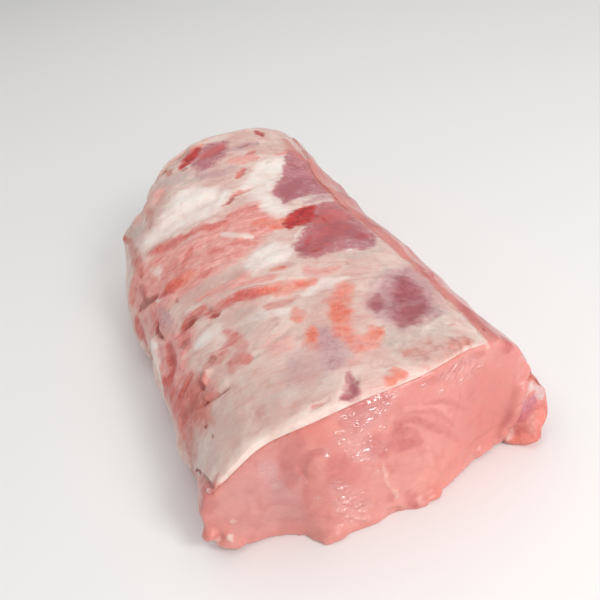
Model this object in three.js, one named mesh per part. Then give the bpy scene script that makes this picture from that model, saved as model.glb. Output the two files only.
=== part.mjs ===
// Raw boneless pork loin: one piece of meat cut square at both ends, lying on its flat underside.
// Three solids make it up: the lean, the fat cap over its top and left side, and the thin side
// muscle along its lower right, whose cut end stands out at the front as a small flap.
//
// Millimetres, +Z up. The front cut faces -Y, the loin runs along +Y, and its chine side is +X.
// Positions round the loin are angles in degrees: 0 is the right side, 90 the top, 180 the left.
// Positions along it are millimetres behind the flat of the front cut.
import * as THREE from 'three';

// Driving dimensions.
const LENGTH = 257;
const HEIGHT = [69, 67.5, 66.5, 70, 75];
const HALF_WIDTH_LEFT = [69.8, 70.5, 73, 73.5, 58.5];
const HALF_WIDTH_RIGHT = [80.5, 80.5, 77.5, 72, 68];
const MID_LINE = [0, -1.3, -2.2, -4.2, -2];

// Cross-section: squareness 2 is an ellipse, and more is boxier.
const LEFT_SQUARENESS = 1.96;
const RIGHT_SQUARENESS = 2.9;
const UNDERSIDE_SQUARENESS = 5;
const WIDEST_HEIGHT = 20;
const LEFT_DROOP = 0.06;
const FLAT_DEPTH = 0.5;
const RIGHT_LIFT = 2.6;
const RIGHT_LIFT_START = 28;
const RIGHT_LIFT_RUN = 50;

// Meat thickness is measured square to this ellipse, which follows the outline roughly.
const CORE_HEIGHT = 28;
const CORE_HALF_WIDTH = 70;
const CORE_HALF_HEIGHT = 56;

// Front cut: the middle of the face swells forward, more at its foot than at its top.
const FACE_SWELL_TOP = 12;
const FACE_SWELL_FOOT = 16.5;
const FACE_SWELL_X = 4;
const FACE_SWELL_HALF_WIDTH = 42;
const FACE_SWELL_FADE = 3;
const FACE_FORMS = [
  { name: 'left shoulder', x: -53, z: 30, width: 13, height: 60, forward: 4.5 },
  { name: 'left toe', x: -25, z: 0, width: 8, height: 26, forward: 3.5 },
  { name: 'end of the side muscle', x: 78, z: 3, width: 10, height: 20, forward: 9 },
  { name: 'left corner toe', x: -64, z: 0, width: 7, height: 16, forward: 3 },
  { name: 'round muscle', x: -14, z: 32, width: 11, height: 11, forward: 1.6 },
  { name: 'hollow by the swirl', x: 18, z: 37, width: 10, height: 8, forward: -1.4 },
];

// Far cut: a shallow swell that only the back view shows.
const FAR_SWELL = 4;
const FAR_SWELL_HALF_WIDTH = 44;
const FAR_SWELL_HEIGHT = 32;
const FAR_SWELL_FADE = 6;

// Fat cap: from its right edge over the top to its left edge, in degrees.
const FAT_RIGHT_EDGE = [44, 44, 47, 45, 36];
const FAT_LEFT_EDGE = 188;
const FAT_LEFT_EDGE_AT_FRONT = 160;
const FAT_LEFT_EDGE_RUN = 52;
const FAT_THICKNESS_RIGHT = 2.6;
const FAT_THICKNESS_LEFT = 4.8;
const FAT_EDGE_THICKNESS = 1.2;
const FAT_LIP_ROUND = 1.1;

// Side muscle: from its lower edge to its upper edge, in degrees. Its seam with the lean runs
// almost straight between the two edges.
const SIDE_LOWER_EDGE = [-52, -50, -49, -48, -48];
const SIDE_UPPER_EDGE = [11, 10, 9, 8, 6];
const SIDE_SEAM_BOW = 0.6;
const SIDE_EDGE_THICKNESS = 1.2;
const FLAP_FLARE = 6.5;
const FLAP_RUN = 24;
const FLAP_ANGLE = -7;
const FLAP_SPREAD = 17;

// Touching pieces are kept this far apart.
const GAP = 0.5;
const EDGE_GAP = 1.1;

// Lobes, folds and hollows of the outer surface. Each runs between two places, given as
// [degrees round the loin, mm along it], fades over its width in mm, and stands out by its height.
const SURFACE_FORMS = [
  { name: 'far left corner, drawn in', from: [142, 256], to: [196, 254], width: 14, height: -5.5 },
  { name: 'far left lobe', from: [163, 229], to: [182, 232], width: 11, height: 4.6 },
  { name: 'waist behind the middle lobe', from: [160, 192], to: [184, 196], width: 12, height: -1.2 },
  { name: 'middle left lobe', from: [158, 152], to: [184, 152], width: 10, height: 2.6 },
  { name: 'waist before the middle lobe', from: [158, 122], to: [184, 122], width: 9, height: -2.4 },
  { name: 'near left lobe', from: [164, 100], to: [182, 101], width: 7, height: 1.8 },
  { name: 'near left fold', from: [160, 53], to: [180, 52], width: 7, height: 1.6 },
  { name: 'hollow behind the front corner', from: [156, 26], to: [182, 26], width: 7, height: -2.2 },
  { name: 'front left corner', from: [164, 2], to: [192, 2], width: 7, height: 1.8 },
  { name: 'cream ridge at the far top', from: [147, 178], to: [112, 206], width: 12, height: 2.4 },
  { name: 'long crease', from: [158, 106], to: [92, 72], width: 6, height: -1.8 },
  { name: 'fold behind the crease', from: [158, 120], to: [96, 88], width: 8, height: 1.2 },
  { name: 'hollow of the near window', from: [56, 56], to: [52, 30], width: 13, height: -1.3 },
  { name: 'hollow of the middle window', from: [66, 132], to: [54, 124], width: 14, height: -1.3 },
  { name: 'hollow of the far window', from: [66, 190], to: [54, 196], width: 14, height: -1.2 },
  { name: 'far right swelling', from: [22, 205], to: [40, 213], width: 15, height: 2.8 },
  { name: 'right side hollow', from: [18, 132], to: [44, 152], width: 15, height: -2.4 },
  { name: 'near right hollow', from: [26, 80], to: [40, 80], width: 9, height: -1.6 },
  { name: 'near right swelling', from: [24, 62], to: [40, 62], width: 9, height: 1.2 },
];
const MM_PER_DEGREE = 1.15;
const RELIEF_START_HEIGHT = 18;

// How finely the surface is divided.
const STATIONS = 34;
const LIP_STATIONS = [0, 2.2, 6];
const FAT_COLUMNS = 22;
const SIDE_COLUMNS = 8;
const BARE_SIDE_COLUMNS = 4;
const UNDERSIDE_COLUMNS = 16;
const CUT_FACE_RINGS = [0.9, 0.75, 0.6, 0.45, 0.3, 0.15];
const ARC_SAMPLES = 48;

// Value at t (0 at the front, 1 at the far end) on a smooth curve through evenly spaced values.
function along(values) {
  const curve = new THREE.SplineCurve(values.map((value, i) => new THREE.Vector2(i, value)));
  return (t) => curve.getPoint(t).y;
}

const heightAt = along(HEIGHT);
const halfLeftAt = along(HALF_WIDTH_LEFT);
const halfRightAt = along(HALF_WIDTH_RIGHT);
const midLineAt = along(MID_LINE);
const fatRightEdgeAt = along(FAT_RIGHT_EDGE);
const sideUpperEdgeAt = along(SIDE_UPPER_EDGE);
const sideLowerEdgeAt = along(SIDE_LOWER_EDGE);

const { clamp, lerp, smoothstep, degToRad } = THREE.MathUtils;

function signedPower(value, power) {
  return Math.sign(value) * Math.abs(value) ** power;
}

function bell(distance, width) {
  return Math.exp(-((distance / width) ** 2));
}

function plateau(distance, halfWidth) {
  return Math.exp(-((distance / halfWidth) ** 4));
}

// Smooth outline of the loin, before its lobes and folds: superellipses with a flat underside.
function outline(degrees, t) {
  const across = Math.cos(degToRad(degrees));
  const up = Math.sin(degToRad(degrees));
  const halfWidth = across < 0 ? halfLeftAt(t) : halfRightAt(t);
  if (up < 0) {
    const power = 2 / UNDERSIDE_SQUARENESS;
    const x = halfWidth * signedPower(across, power);
    const belly = WIDEST_HEIGHT * (1 - (-up) ** power) - FLAT_DEPTH;
    const lift = RIGHT_LIFT * clamp((x - RIGHT_LIFT_START) / RIGHT_LIFT_RUN, 0, 1) ** 2;
    return new THREE.Vector2(x + midLineAt(t), Math.max(0, belly, lift));
  }
  const power = 2 / (across < 0 ? LEFT_SQUARENESS : RIGHT_SQUARENESS);
  const reach = signedPower(across, power);
  const rightness = (reach + 1) / 2;
  const crown = heightAt(t) * (1 - LEFT_DROOP * (1 - rightness) ** 2);
  const z = WIDEST_HEIGHT - FLAT_DEPTH + (crown - WIDEST_HEIGHT + FLAT_DEPTH) * up ** power;
  return new THREE.Vector2(halfWidth * reach + midLineAt(t), z);
}

// Direction out of the meat, close to square to the outline and never crossing itself.
function outward(point, t) {
  const x = (point.x - midLineAt(t)) / CORE_HALF_WIDTH ** 2;
  const z = (point.y - CORE_HEIGHT) / CORE_HALF_HEIGHT ** 2;
  return new THREE.Vector2(x, z).normalize();
}

// Distance in millimetres on the surface from a place to a form's centre line.
function distanceToForm(form, degrees, y) {
  const start = new THREE.Vector2(form.from[0] * MM_PER_DEGREE, form.from[1]);
  const end = new THREE.Vector2(form.to[0] * MM_PER_DEGREE, form.to[1]);
  const place = new THREE.Vector2(degrees * MM_PER_DEGREE, y);
  const run = end.clone().sub(start);
  const share = clamp(place.clone().sub(start).dot(run) / run.lengthSq(), 0, 1);
  return place.distanceTo(start.addScaledVector(run, share));
}

// Height of the lobes, folds, hollows and flap above the smooth outline.
function relief(degrees, t) {
  const y = t * LENGTH;
  let height = FLAP_FLARE * bell(degrees - FLAP_ANGLE, FLAP_SPREAD) * bell(y, FLAP_RUN);
  for (const form of SURFACE_FORMS) {
    height += form.height * bell(distanceToForm(form, degrees, y), form.width);
  }
  return height;
}

// Point of a cross-section, sunk below the outer surface by a depth. The forms of the surface
// fade out towards the underside, which stays flat.
function sectionPoint(degrees, t, depth) {
  const point = outline(degrees, t);
  const height = relief(degrees, t) * smoothstep(point.y, 0, RELIEF_START_HEIGHT) - depth;
  const moved = point.clone().addScaledVector(outward(point, t), height);
  return new THREE.Vector2(moved.x, Math.max(0, moved.y));
}

// How far the front cut stands forward of its flat.
function frontCut(x, z) {
  const low = clamp(1 - z / HEIGHT[0], 0, 1);
  const swell = lerp(FACE_SWELL_TOP, FACE_SWELL_FOOT, low);
  let forward = swell * plateau(x - FACE_SWELL_X, FACE_SWELL_HALF_WIDTH);
  for (const form of FACE_FORMS) {
    forward += form.forward * bell(x - form.x, form.width) * bell(z - form.z, form.height);
  }
  return -forward;
}

// How far the far cut swells backward.
function farCut(x, z) {
  return FAR_SWELL * plateau(x, FAR_SWELL_HALF_WIDTH) * plateau(z - FAR_SWELL_HEIGHT, FAR_SWELL_HEIGHT);
}

// Places a cross-section point along the loin: both cuts fade out with distance from their end.
function place(point, t) {
  const front = frontCut(point.x, point.y) * (1 - t) ** FACE_SWELL_FADE;
  const far = farCut(point.x, point.y) * t ** FAR_SWELL_FADE;
  return new THREE.Vector3(point.x, front + LENGTH * t + far, point.y);
}

// Angles from one edge to another, evenly spaced along the outline.
function spreadAngles(from, to, columns, t) {
  const angles = Array.from({ length: ARC_SAMPLES + 1 }, (_, i) => lerp(from, to, i / ARC_SAMPLES));
  const points = angles.map((angle) => outline(angle, t));
  const run = [0];
  for (let i = 1; i < points.length; i += 1) {
    run.push(run[i - 1] + points[i].distanceTo(points[i - 1]));
  }
  return Array.from({ length: columns + 1 }, (_, column) => {
    const target = (run[ARC_SAMPLES] * column) / columns;
    const i = clamp(run.findIndex((length) => length >= target), 1, ARC_SAMPLES);
    const share = (target - run[i - 1]) / (run[i] - run[i - 1]);
    return lerp(angles[i - 1], angles[i], share);
  });
}

// Lower left edge of the fat: high at the front corner, then low along the side.
function fatLeftEdgeAt(t) {
  const low = smoothstep(t * LENGTH, 0, FAT_LEFT_EDGE_RUN);
  return lerp(FAT_LEFT_EDGE_AT_FRONT, FAT_LEFT_EDGE, low);
}

// Inner side of the fat: share runs from its right edge, 0, to its left edge, 1.
function fatInnerPoint(degrees, share, t, clearance) {
  const body = lerp(FAT_THICKNESS_RIGHT, FAT_THICKNESS_LEFT, share);
  const thickness = lerp(body, FAT_EDGE_THICKNESS, Math.abs(2 * share - 1) ** 4);
  return sectionPoint(degrees, t, thickness + clearance);
}

// Seam of the side muscle: share runs from its lower edge, 0, to its upper edge, 1.
function sideInnerPoint(degrees, share, t, clearance) {
  const depth = SIDE_EDGE_THICKNESS + clearance;
  const lower = sectionPoint(sideLowerEdgeAt(t), t, depth);
  const upper = sectionPoint(sideUpperEdgeAt(t), t, depth);
  const run = upper.clone().sub(lower).normalize();
  const intoMeat = new THREE.Vector2(-run.y, run.x);
  const bow = SIDE_SEAM_BOW * Math.sin(Math.PI * share);
  return lower.lerp(upper, share).addScaledVector(intoMeat, bow);
}

const FAT_LAYER = {
  columns: FAT_COLUMNS,
  edges: (t) => [fatRightEdgeAt(t), fatLeftEdgeAt(t)],
  innerPoint: fatInnerPoint,
  lipRound: FAT_LIP_ROUND,
};
const SIDE_LAYER = {
  columns: SIDE_COLUMNS,
  edges: (t) => [sideLowerEdgeAt(t), sideUpperEdgeAt(t)],
  innerPoint: sideInnerPoint,
  lipRound: 0,
};

// Stations along the loin, with close ones just behind the front cut for its lip.
function stations() {
  const lip = LIP_STATIONS.map((y) => y / LENGTH);
  const start = lip[lip.length - 1];
  const rest = Array.from({ length: STATIONS }, (_, i) => lerp(start, 1, (i + 1) / STATIONS));
  return [...lip, ...rest];
}

// One cross-section of a layer: out along its outer side and back along its inner side.
function layerLoop(layer, t) {
  const [from, to] = layer.edges(t);
  const angles = spreadAngles(from, to, layer.columns, t);
  const drop = t === 0 ? layer.lipRound : 0;
  const outer = angles.map((angle) => place(sectionPoint(angle, t, drop), t));
  const inner = angles.map((angle, column) =>
    place(layer.innerPoint(angle, column / layer.columns, t, drop / 2), t));
  return [...outer, ...inner.reverse()];
}

// Stretch of the lean's cross-section that a layer covers.
function coveredStretch(layer, t) {
  const [from, to] = layer.edges(t);
  const angles = spreadAngles(from, to, layer.columns, t);
  const drop = t === 0 ? layer.lipRound / 2 : 0;
  return angles.map((angle, column) =>
    layer.innerPoint(angle, column / layer.columns, t, drop + GAP));
}

// Stretch of the lean's cross-section that shows, held back from the layers' edges.
function bareStretch(from, to, columns, t) {
  const margin = EDGE_GAP / MM_PER_DEGREE;
  return spreadAngles(from + margin, to - margin, columns, t).map((angle) => sectionPoint(angle, t, 0));
}

function leanSection(t) {
  const [sideLower, sideUpper] = SIDE_LAYER.edges(t);
  const [fatRight, fatLeft] = FAT_LAYER.edges(t);
  return [
    ...coveredStretch(SIDE_LAYER, t),
    ...bareStretch(sideUpper, fatRight, BARE_SIDE_COLUMNS, t),
    ...coveredStretch(FAT_LAYER, t),
    ...bareStretch(fatLeft, sideLower + 360, UNDERSIDE_COLUMNS, t),
  ];
}

// A cut face as rings of one section, from its rim inwards.
function cutFaceLoops(t) {
  const centre = new THREE.Vector2(midLineAt(t), CORE_HEIGHT);
  const rim = leanSection(t);
  return CUT_FACE_RINGS.map((scale) =>
    rim.map((point) => place(centre.clone().lerp(point, scale), t)));
}

function cutFaceCentre(t) {
  return place(new THREE.Vector2(midLineAt(t), CORE_HEIGHT), t);
}

// Triangles between neighbouring loops of one size, facing out. From mirroredFrom on, each square
// is split along its other diagonal, so that the two sides of a layer and the lean fold alike.
function bandFaces(loopCount, loopSize, mirroredFrom) {
  const faces = [];
  for (let loop = 0; loop < loopCount - 1; loop += 1) {
    for (let i = 0; i < loopSize; i += 1) {
      const next = (i + 1) % loopSize;
      const a = loop * loopSize + i;
      const b = loop * loopSize + next;
      const c = a + loopSize;
      const d = b + loopSize;
      faces.push(...(i < mirroredFrom ? [a, c, d, a, d, b] : [a, c, b, b, c, d]));
    }
  }
  return faces;
}

// End of a layer: a ribbon between its outer and its inner side.
function ribbonFaces(start, columns, facesFront) {
  const faces = [];
  for (let i = 0; i < columns; i += 1) {
    const outerA = start + i;
    const outerB = start + i + 1;
    const innerA = start + 2 * columns + 1 - i;
    const innerB = innerA - 1;
    faces.push(...(facesFront
      ? [outerA, innerB, innerA, outerA, outerB, innerB]
      : [outerA, innerA, innerB, outerA, innerB, outerB]));
  }
  return faces;
}

// Middle of a cut face: a fan from its centre to its smallest ring.
function fanFaces(centre, start, loopSize, facesFront) {
  const faces = [];
  for (let i = 0; i < loopSize; i += 1) {
    const a = start + i;
    const b = start + ((i + 1) % loopSize);
    faces.push(...(facesFront ? [centre, a, b] : [centre, b, a]));
  }
  return faces;
}

function meshOf(name, points, faces, material) {
  const geometry = new THREE.BufferGeometry().setFromPoints(points);
  geometry.setIndex(faces);
  geometry.computeVertexNormals();
  const mesh = new THREE.Mesh(geometry, material);
  mesh.name = name;
  return mesh;
}

function makeLayer(name, layer, material) {
  const loops = stations().map((t) => layerLoop(layer, t));
  const loopSize = loops[0].length;
  const faces = [
    ...bandFaces(loops.length, loopSize, layer.columns + 1),
    ...ribbonFaces(0, layer.columns, true),
    ...ribbonFaces((loops.length - 1) * loopSize, layer.columns, false),
  ];
  return meshOf(name, loops.flat(), faces, material);
}

function makeLean(material) {
  const sides = stations().map((t) => leanSection(t).map((point) => place(point, t)));
  const loops = [...cutFaceLoops(0).reverse(), ...sides, ...cutFaceLoops(1)];
  const loopSize = loops[0].length;
  const ringPoints = loops.flat();
  const points = [...ringPoints, cutFaceCentre(0), cutFaceCentre(1)];
  const faces = [
    ...bandFaces(loops.length, loopSize, loopSize),
    ...fanFaces(ringPoints.length, 0, loopSize, true),
    ...fanFaces(ringPoints.length + 1, (loops.length - 1) * loopSize, loopSize, false),
  ];
  return meshOf('lean', points, faces, material);
}

function rawPorkLean() {
  return new THREE.MeshStandardMaterial({ color: 0xe0908a, roughness: 0.42, metalness: 0 });
}

function chilledPorkFat() {
  return new THREE.MeshStandardMaterial({ color: 0xe3c4b9, roughness: 0.5, metalness: 0 });
}

function redSideMuscle() {
  return new THREE.MeshStandardMaterial({ color: 0xe0807a, roughness: 0.42, metalness: 0 });
}

// The origin is the middle of the loin's footprint, on the surface that it lies on.
function standOnOrigin(group) {
  const box = new THREE.Box3().setFromObject(group);
  const centre = box.getCenter(new THREE.Vector3());
  group.position.set(-centre.x, -centre.y, -box.min.z);
  group.updateMatrixWorld(true);
  return group;
}

const loin = new THREE.Group();
loin.add(makeLean(rawPorkLean()));
loin.add(makeLayer('fat_cap', FAT_LAYER, chilledPorkFat()));
loin.add(makeLayer('side_muscle', SIDE_LAYER, redSideMuscle()));

export default standOnOrigin(loin);
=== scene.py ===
import math
from collections import namedtuple

import bmesh
import bpy
import numpy as np
from mathutils import Matrix, Vector, noise
from mathutils.bvhtree import BVHTree


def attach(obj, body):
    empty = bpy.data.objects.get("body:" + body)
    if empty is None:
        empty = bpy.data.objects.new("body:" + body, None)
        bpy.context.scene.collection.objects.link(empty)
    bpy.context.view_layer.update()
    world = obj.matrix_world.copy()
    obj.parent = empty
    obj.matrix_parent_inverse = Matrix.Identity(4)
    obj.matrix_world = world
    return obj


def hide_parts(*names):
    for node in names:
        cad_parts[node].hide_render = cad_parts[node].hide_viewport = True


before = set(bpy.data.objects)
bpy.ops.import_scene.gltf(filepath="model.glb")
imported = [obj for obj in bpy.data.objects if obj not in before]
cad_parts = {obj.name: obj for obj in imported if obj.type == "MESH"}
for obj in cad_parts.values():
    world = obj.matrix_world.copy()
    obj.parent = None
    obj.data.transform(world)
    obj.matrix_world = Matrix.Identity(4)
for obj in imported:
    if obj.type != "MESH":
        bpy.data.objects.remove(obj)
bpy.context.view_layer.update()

bl_info = {
    "name": "Raw boneless loin",
    "version": (1, 0, 0),
    "blender": (4, 5, 0),
    "location": "3D View > Sidebar > Loin",
    "description": "Dresses the packed solids of a raw boneless pork loin as meat and fat",
    "category": "Object",
}

MM = 0.001

# Small enough to be nothing: a length in mm that keeps divisions away from zero, and a distance
# in metres at which points of a CAD solid are one.
TINY = 1e-6
WELD_DISTANCE = 1e-6

# The camera stands where the photograph was taken, in mm and degrees. The heading turns from +Y
# towards +X, the pitch looks down and the roll tips the camera's right side down.
CAMERA_PLACE = (-62.06, -354.16, 269.79)
CAMERA_HEADING = 11.325
CAMERA_PITCH = 34.246
CAMERA_ROLL = -12.12
SENSOR_WIDTH = 36.0
PHOTO_SIZE = 600

# The lights' places in mm, the room's colour and strength, and the floor in metres.
KEY_LIGHT_PLACE = (380, -760, 640)
GLINT_LIGHT_PLACE = (270, -970, 210)
TOP_LIGHT_PLACE = (0, 250, 1150)
ROOM_COLOUR = "#fbfbfa"
ROOM_STRENGTH = 0.45
FLOOR_HALF_WIDTH = 3.0

# A path lands on the surface in steps of this many pixels or mm. For a pixel beside the surface,
# these distances from the camera are tried, in mm.
PATH_STEP = 5
SIGHT_DEPTHS = range(300, 801, 5)

# A stroke covers fully up to a fifth of its half width, which takes this gain. Strokes of paint
# fray, so they reach this much farther, and they lose this share of their width at their ends.
STROKE_GAIN = 1.25
PAINT_REACH = 1.3
PAINT_TAPER = 0.5

# How far an area reaches below the lowest place of its outline, in mm.
AREA_DEPTH = 12.0

# How the edges of the marks wander: the size of the lumps and the shift in mm, and a seed. The
# edges of the forms wander by their own shift. Vector noise starts from the clock unless it is
# seeded, so it has a seed of its own.
VECTOR_NOISE_SEED = 1
PAINT_WOBBLES = ((9.0, 1.6, 1.0), (3.0, 1.1, 2.0))
FORM_WOBBLE = 0.9

# The loin's own places, in mm. The strip of lean that is bare and the hidden side both begin
# to the right of the fat. A swirl is given as across and up.
CORE_HEIGHT = 20.0
FRONT_CUT_START = -108.0
FRONT_SWIRL = (11.5, 41.6)
BACK_SWIRL = (-12.0, 36.0)
BARE_STRIP_LEFT = 48.0
BARE_STRIP_FOOT = 30.0
HIDDEN_SIDE_LEFT = 48.0
HIDDEN_SIDE_TOP = 52.0
SKIN_TOP = 48.0

# Waves of the hidden side, outwards and up: their height and length in mm.
WAVES_OUT = (2.6, 34.0)
WAVES_UP = (3.4, 40.0)

# The lean's fibres: the radius they are laid out on, how much their rings in the cuts are
# flattened across and up, and how far the rings wander, in mm.
LEAN_RADIUS = 50.0
SWIRL_SQUASH = (0.62, 1.0)
SWIRL_WANDER = 4.0

# The fat's fibres: the radius they are laid out on, their slant at the front and how much of it
# they lose towards the back, their sizes along, across and up in mm, and the UV map's unit in mm.
FAT_RADIUS = 62.0
FIBRE_SLANT = 0.36
FIBRE_SLANT_LOSS = 0.34
COARSE_FIBRES = (26, 6.5, 60)
FINE_FIBRES = (14, 2.8, 60)
UV_UNIT = 10.0

# Rims that turn more than this keep that much of their sharpness, from 0 to 1.
RIM_TURN = math.radians(50)
FAT_RIM_SHARPNESS = 0.55
SIDE_RIM_SHARPNESS = 0.9

# The lean's mesh is this fine. It swells a little above its foot, and again on its bare strip
# and within that reach of the fat's rim, so that no gap shows there. All in mm.
LEAN_GRID = 1.5
LEAN_SWELL = 0.45
LEAN_SWELL_FOOT = 12.0
STRIP_SWELL = 0.5
RIM_REACH = 3.0

# The flap's left rim and the left part of its foot lean into the front cut, so that no gap shows
# there. Each is a path with how far it reaches and how far it moves the surface.
FLAP_SEAMS = (
    (((76, -122, 36), (72, -124, 24), (66, -126, 12)), 7.0, (-2.6, 1.0, 0.0)),
    (((66, -130, 8), (61, -129, 2)), 8.0, (-1.4, 4.4, 0.0)),
)


# ---------------------------------------------------------------------------------------------
# Marks on the surface. A place is either a pixel of the photograph, as (across, down), which
# lands on the surface that shows there, or a point in mm, as (x, y, z), which lands on the
# nearest surface. Widths and heights are in mm.

# A painted stroke: it covers fully along its path and fades out at half_width.
Stroke = namedtuple("Stroke", "finish path half_width strength")

# A painted area inside an outline, whose edge fades over soft mm.
Area = namedtuple("Area", "finish outline soft strength")

# A raised or sunk form along a path, which fades out at half_width.
Form = namedtuple("Form", "path half_width height")

# A finish's look: two colours, the noise that frays its edge, the noise that mixes the colours,
# how soft its edge is and how much of it covers at most.
Layer = namedtuple("Layer", "finish first second fraying mottling soft most",
                   defaults=(0.35, 0.9))

# Each finish lies over those before it. Blush has two looks.
FAT_LAYERS = (
    Layer("blush", "#fab0a6", "#e8847c", "streaks", "blots"),
    Layer("blush", "#facabf", "#d6665f", "patches", "fine_streaks", 0.4, 0.45),
    # Cream is cream fat, and also serves as painted highlights.
    Layer("cream_and_highlight", "#fdf2eb", "#f2ddd3", "clouds", "patches", 0.45),
    # Grey is grey fat, and also serves as painted shade.
    Layer("grey_and_shade", "#dcc8be", "#c7aea4", "patches", "blots", 0.45, 0.8),
    # Brown also serves as painted shade.
    Layer("brown_and_shade", "#da7766", "#bb564b", "patches", "blots", 0.45),
    Layer("veil", "#cda1a3", "#b98488", "patches", "blots", 0.45),
    Layer("window", "#c5757f", "#ad5763", "blots", "patches", 0.45),
    Layer("core", "#b0545d", "#9b434d", "patches", "blots", 0.6),
    Layer("salmon", "#e18d83", "#cf736c", "patches", "blots", 0.45),
    Layer("red", "#df6e65", "#cb524c", "fine_streaks", "blots", 0.4),
    # Dark marks spots, and also serves as painted shadows.
    Layer("dark", "#b75850", "#9c423d", "blots", "specks", 0.45),
    Layer("orange", "#f6886c", "#e35f49", "patches", "blots", 0.55),
    Layer("blood", "#d23631", "#a01b24", "fine_streaks", "blots", 0.4, 1.0),
    # The pale rim also carries a painted highlight.
    Layer("lip", "#f6e2d8", "#e9cdc2", "blots", "patches", 0.45, 0.75),
    Layer("cut", "#852c29", "#702220", "specks", "blots", 0.3),
)

FAT_AREAS = [
    # Windows in the fat, where it is thin and the meat under it shows purple.
    Area("window", [(287, 150), (284, 160), (281, 168), (283, 176), (280, 180), (275, 186),
                    (273, 190), (277, 196), (283, 199), (282, 204), (289, 203), (298, 198),
                    (312, 195), (326, 194), (334, 190), (324, 178), (312, 164), (300, 153)],
         1.8, 0.95),
    Area("window", [(312, 207), (324, 202), (338, 202), (347, 208), (354, 216), (362, 224),
                    (372, 228), (378, 237), (376, 245), (366, 250), (350, 249), (338, 251),
                    (326, 254), (314, 259), (300, 256), (293, 250), (293, 243), (300, 236),
                    (305, 228), (308, 216)], 2.4, 0.9),
    Area("veil", [(367, 298), (374, 286), (388, 274), (404, 266), (420, 272), (432, 284),
                  (443, 300), (440, 314), (424, 320), (404, 330), (388, 322), (374, 314)],
         7.0, 1.0),
    Area("window", [(346, 372), (348, 380), (343, 388), (339, 399), (349, 401), (357, 399),
                    (357, 388), (354, 378), (350, 371)], 1.6, 0.8),
    # Wet purple patch where the fat has torn off at the far end.
    Area("window", [(192, 160), (198, 151), (207, 144), (216, 141), (227, 141), (228, 147),
                    (224, 155), (216, 162), (210, 168), (200, 171), (193, 168)], 3.4, 0.85),
    # Blood over and beside the middle window.
    Area("blood", [(284, 224), (288, 214), (296, 209), (306, 206), (316, 204), (316, 212),
                   (311, 222), (304, 227), (296, 226), (288, 230)], 2.2, 1.0),
    Area("red", [(312, 207), (338, 202), (352, 212), (354, 226), (340, 244), (318, 256),
                 (300, 254), (304, 236), (308, 218)], 5.0, 0.3),
    # Thick cream fat.
    Area("cream_and_highlight", [(258, 165), (270, 160), (283, 158), (281, 170), (279, 180), (272, 188),
                   (278, 198), (284, 206), (286, 214), (276, 216), (262, 208), (250, 198),
                   (244, 188), (250, 176)], 4.5, 0.95),
    Area("cream_and_highlight", [(160, 222), (168, 205), (178, 192), (192, 187), (206, 188), (222, 184),
                   (228, 192), (224, 204), (214, 214), (198, 223), (180, 231), (164, 240),
                   (148, 248), (138, 250), (144, 238)], 5.0, 0.95),
    Area("cream_and_highlight", [(244, 264), (258, 250), (274, 242), (290, 244), (292, 254), (284, 261),
                   (268, 266), (250, 272)], 4.0, 0.95),
    # Painted shade where the fat curves down on the left towards the front.
    Area("grey_and_shade", [(200, 392), (230, 388), (262, 384), (292, 372), (300, 396), (276, 414),
                  (244, 434), (214, 450), (196, 440)], 12.0, 0.45),
    # The red band, and the sore side below it.
    Area("blush", [(138, 268), (158, 251), (184, 242), (212, 228), (234, 210), (256, 202),
                   (274, 212), (274, 228), (258, 246), (236, 262), (208, 278), (186, 294),
                   (164, 312), (152, 332), (142, 326), (132, 296)], 6.0, 0.78),
    Area("blush", [(158, 316), (180, 330), (196, 330), (186, 350), (190, 374), (214, 384),
                   (212, 400), (206, 420), (190, 426), (176, 408), (164, 388), (160, 350)],
         6.0, 0.75),
    Area("brown_and_shade", [(188, 376), (204, 380), (214, 394), (208, 410), (212, 424), (196, 432),
                   (184, 424), (180, 402)], 7.0, 0.85),
]

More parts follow.
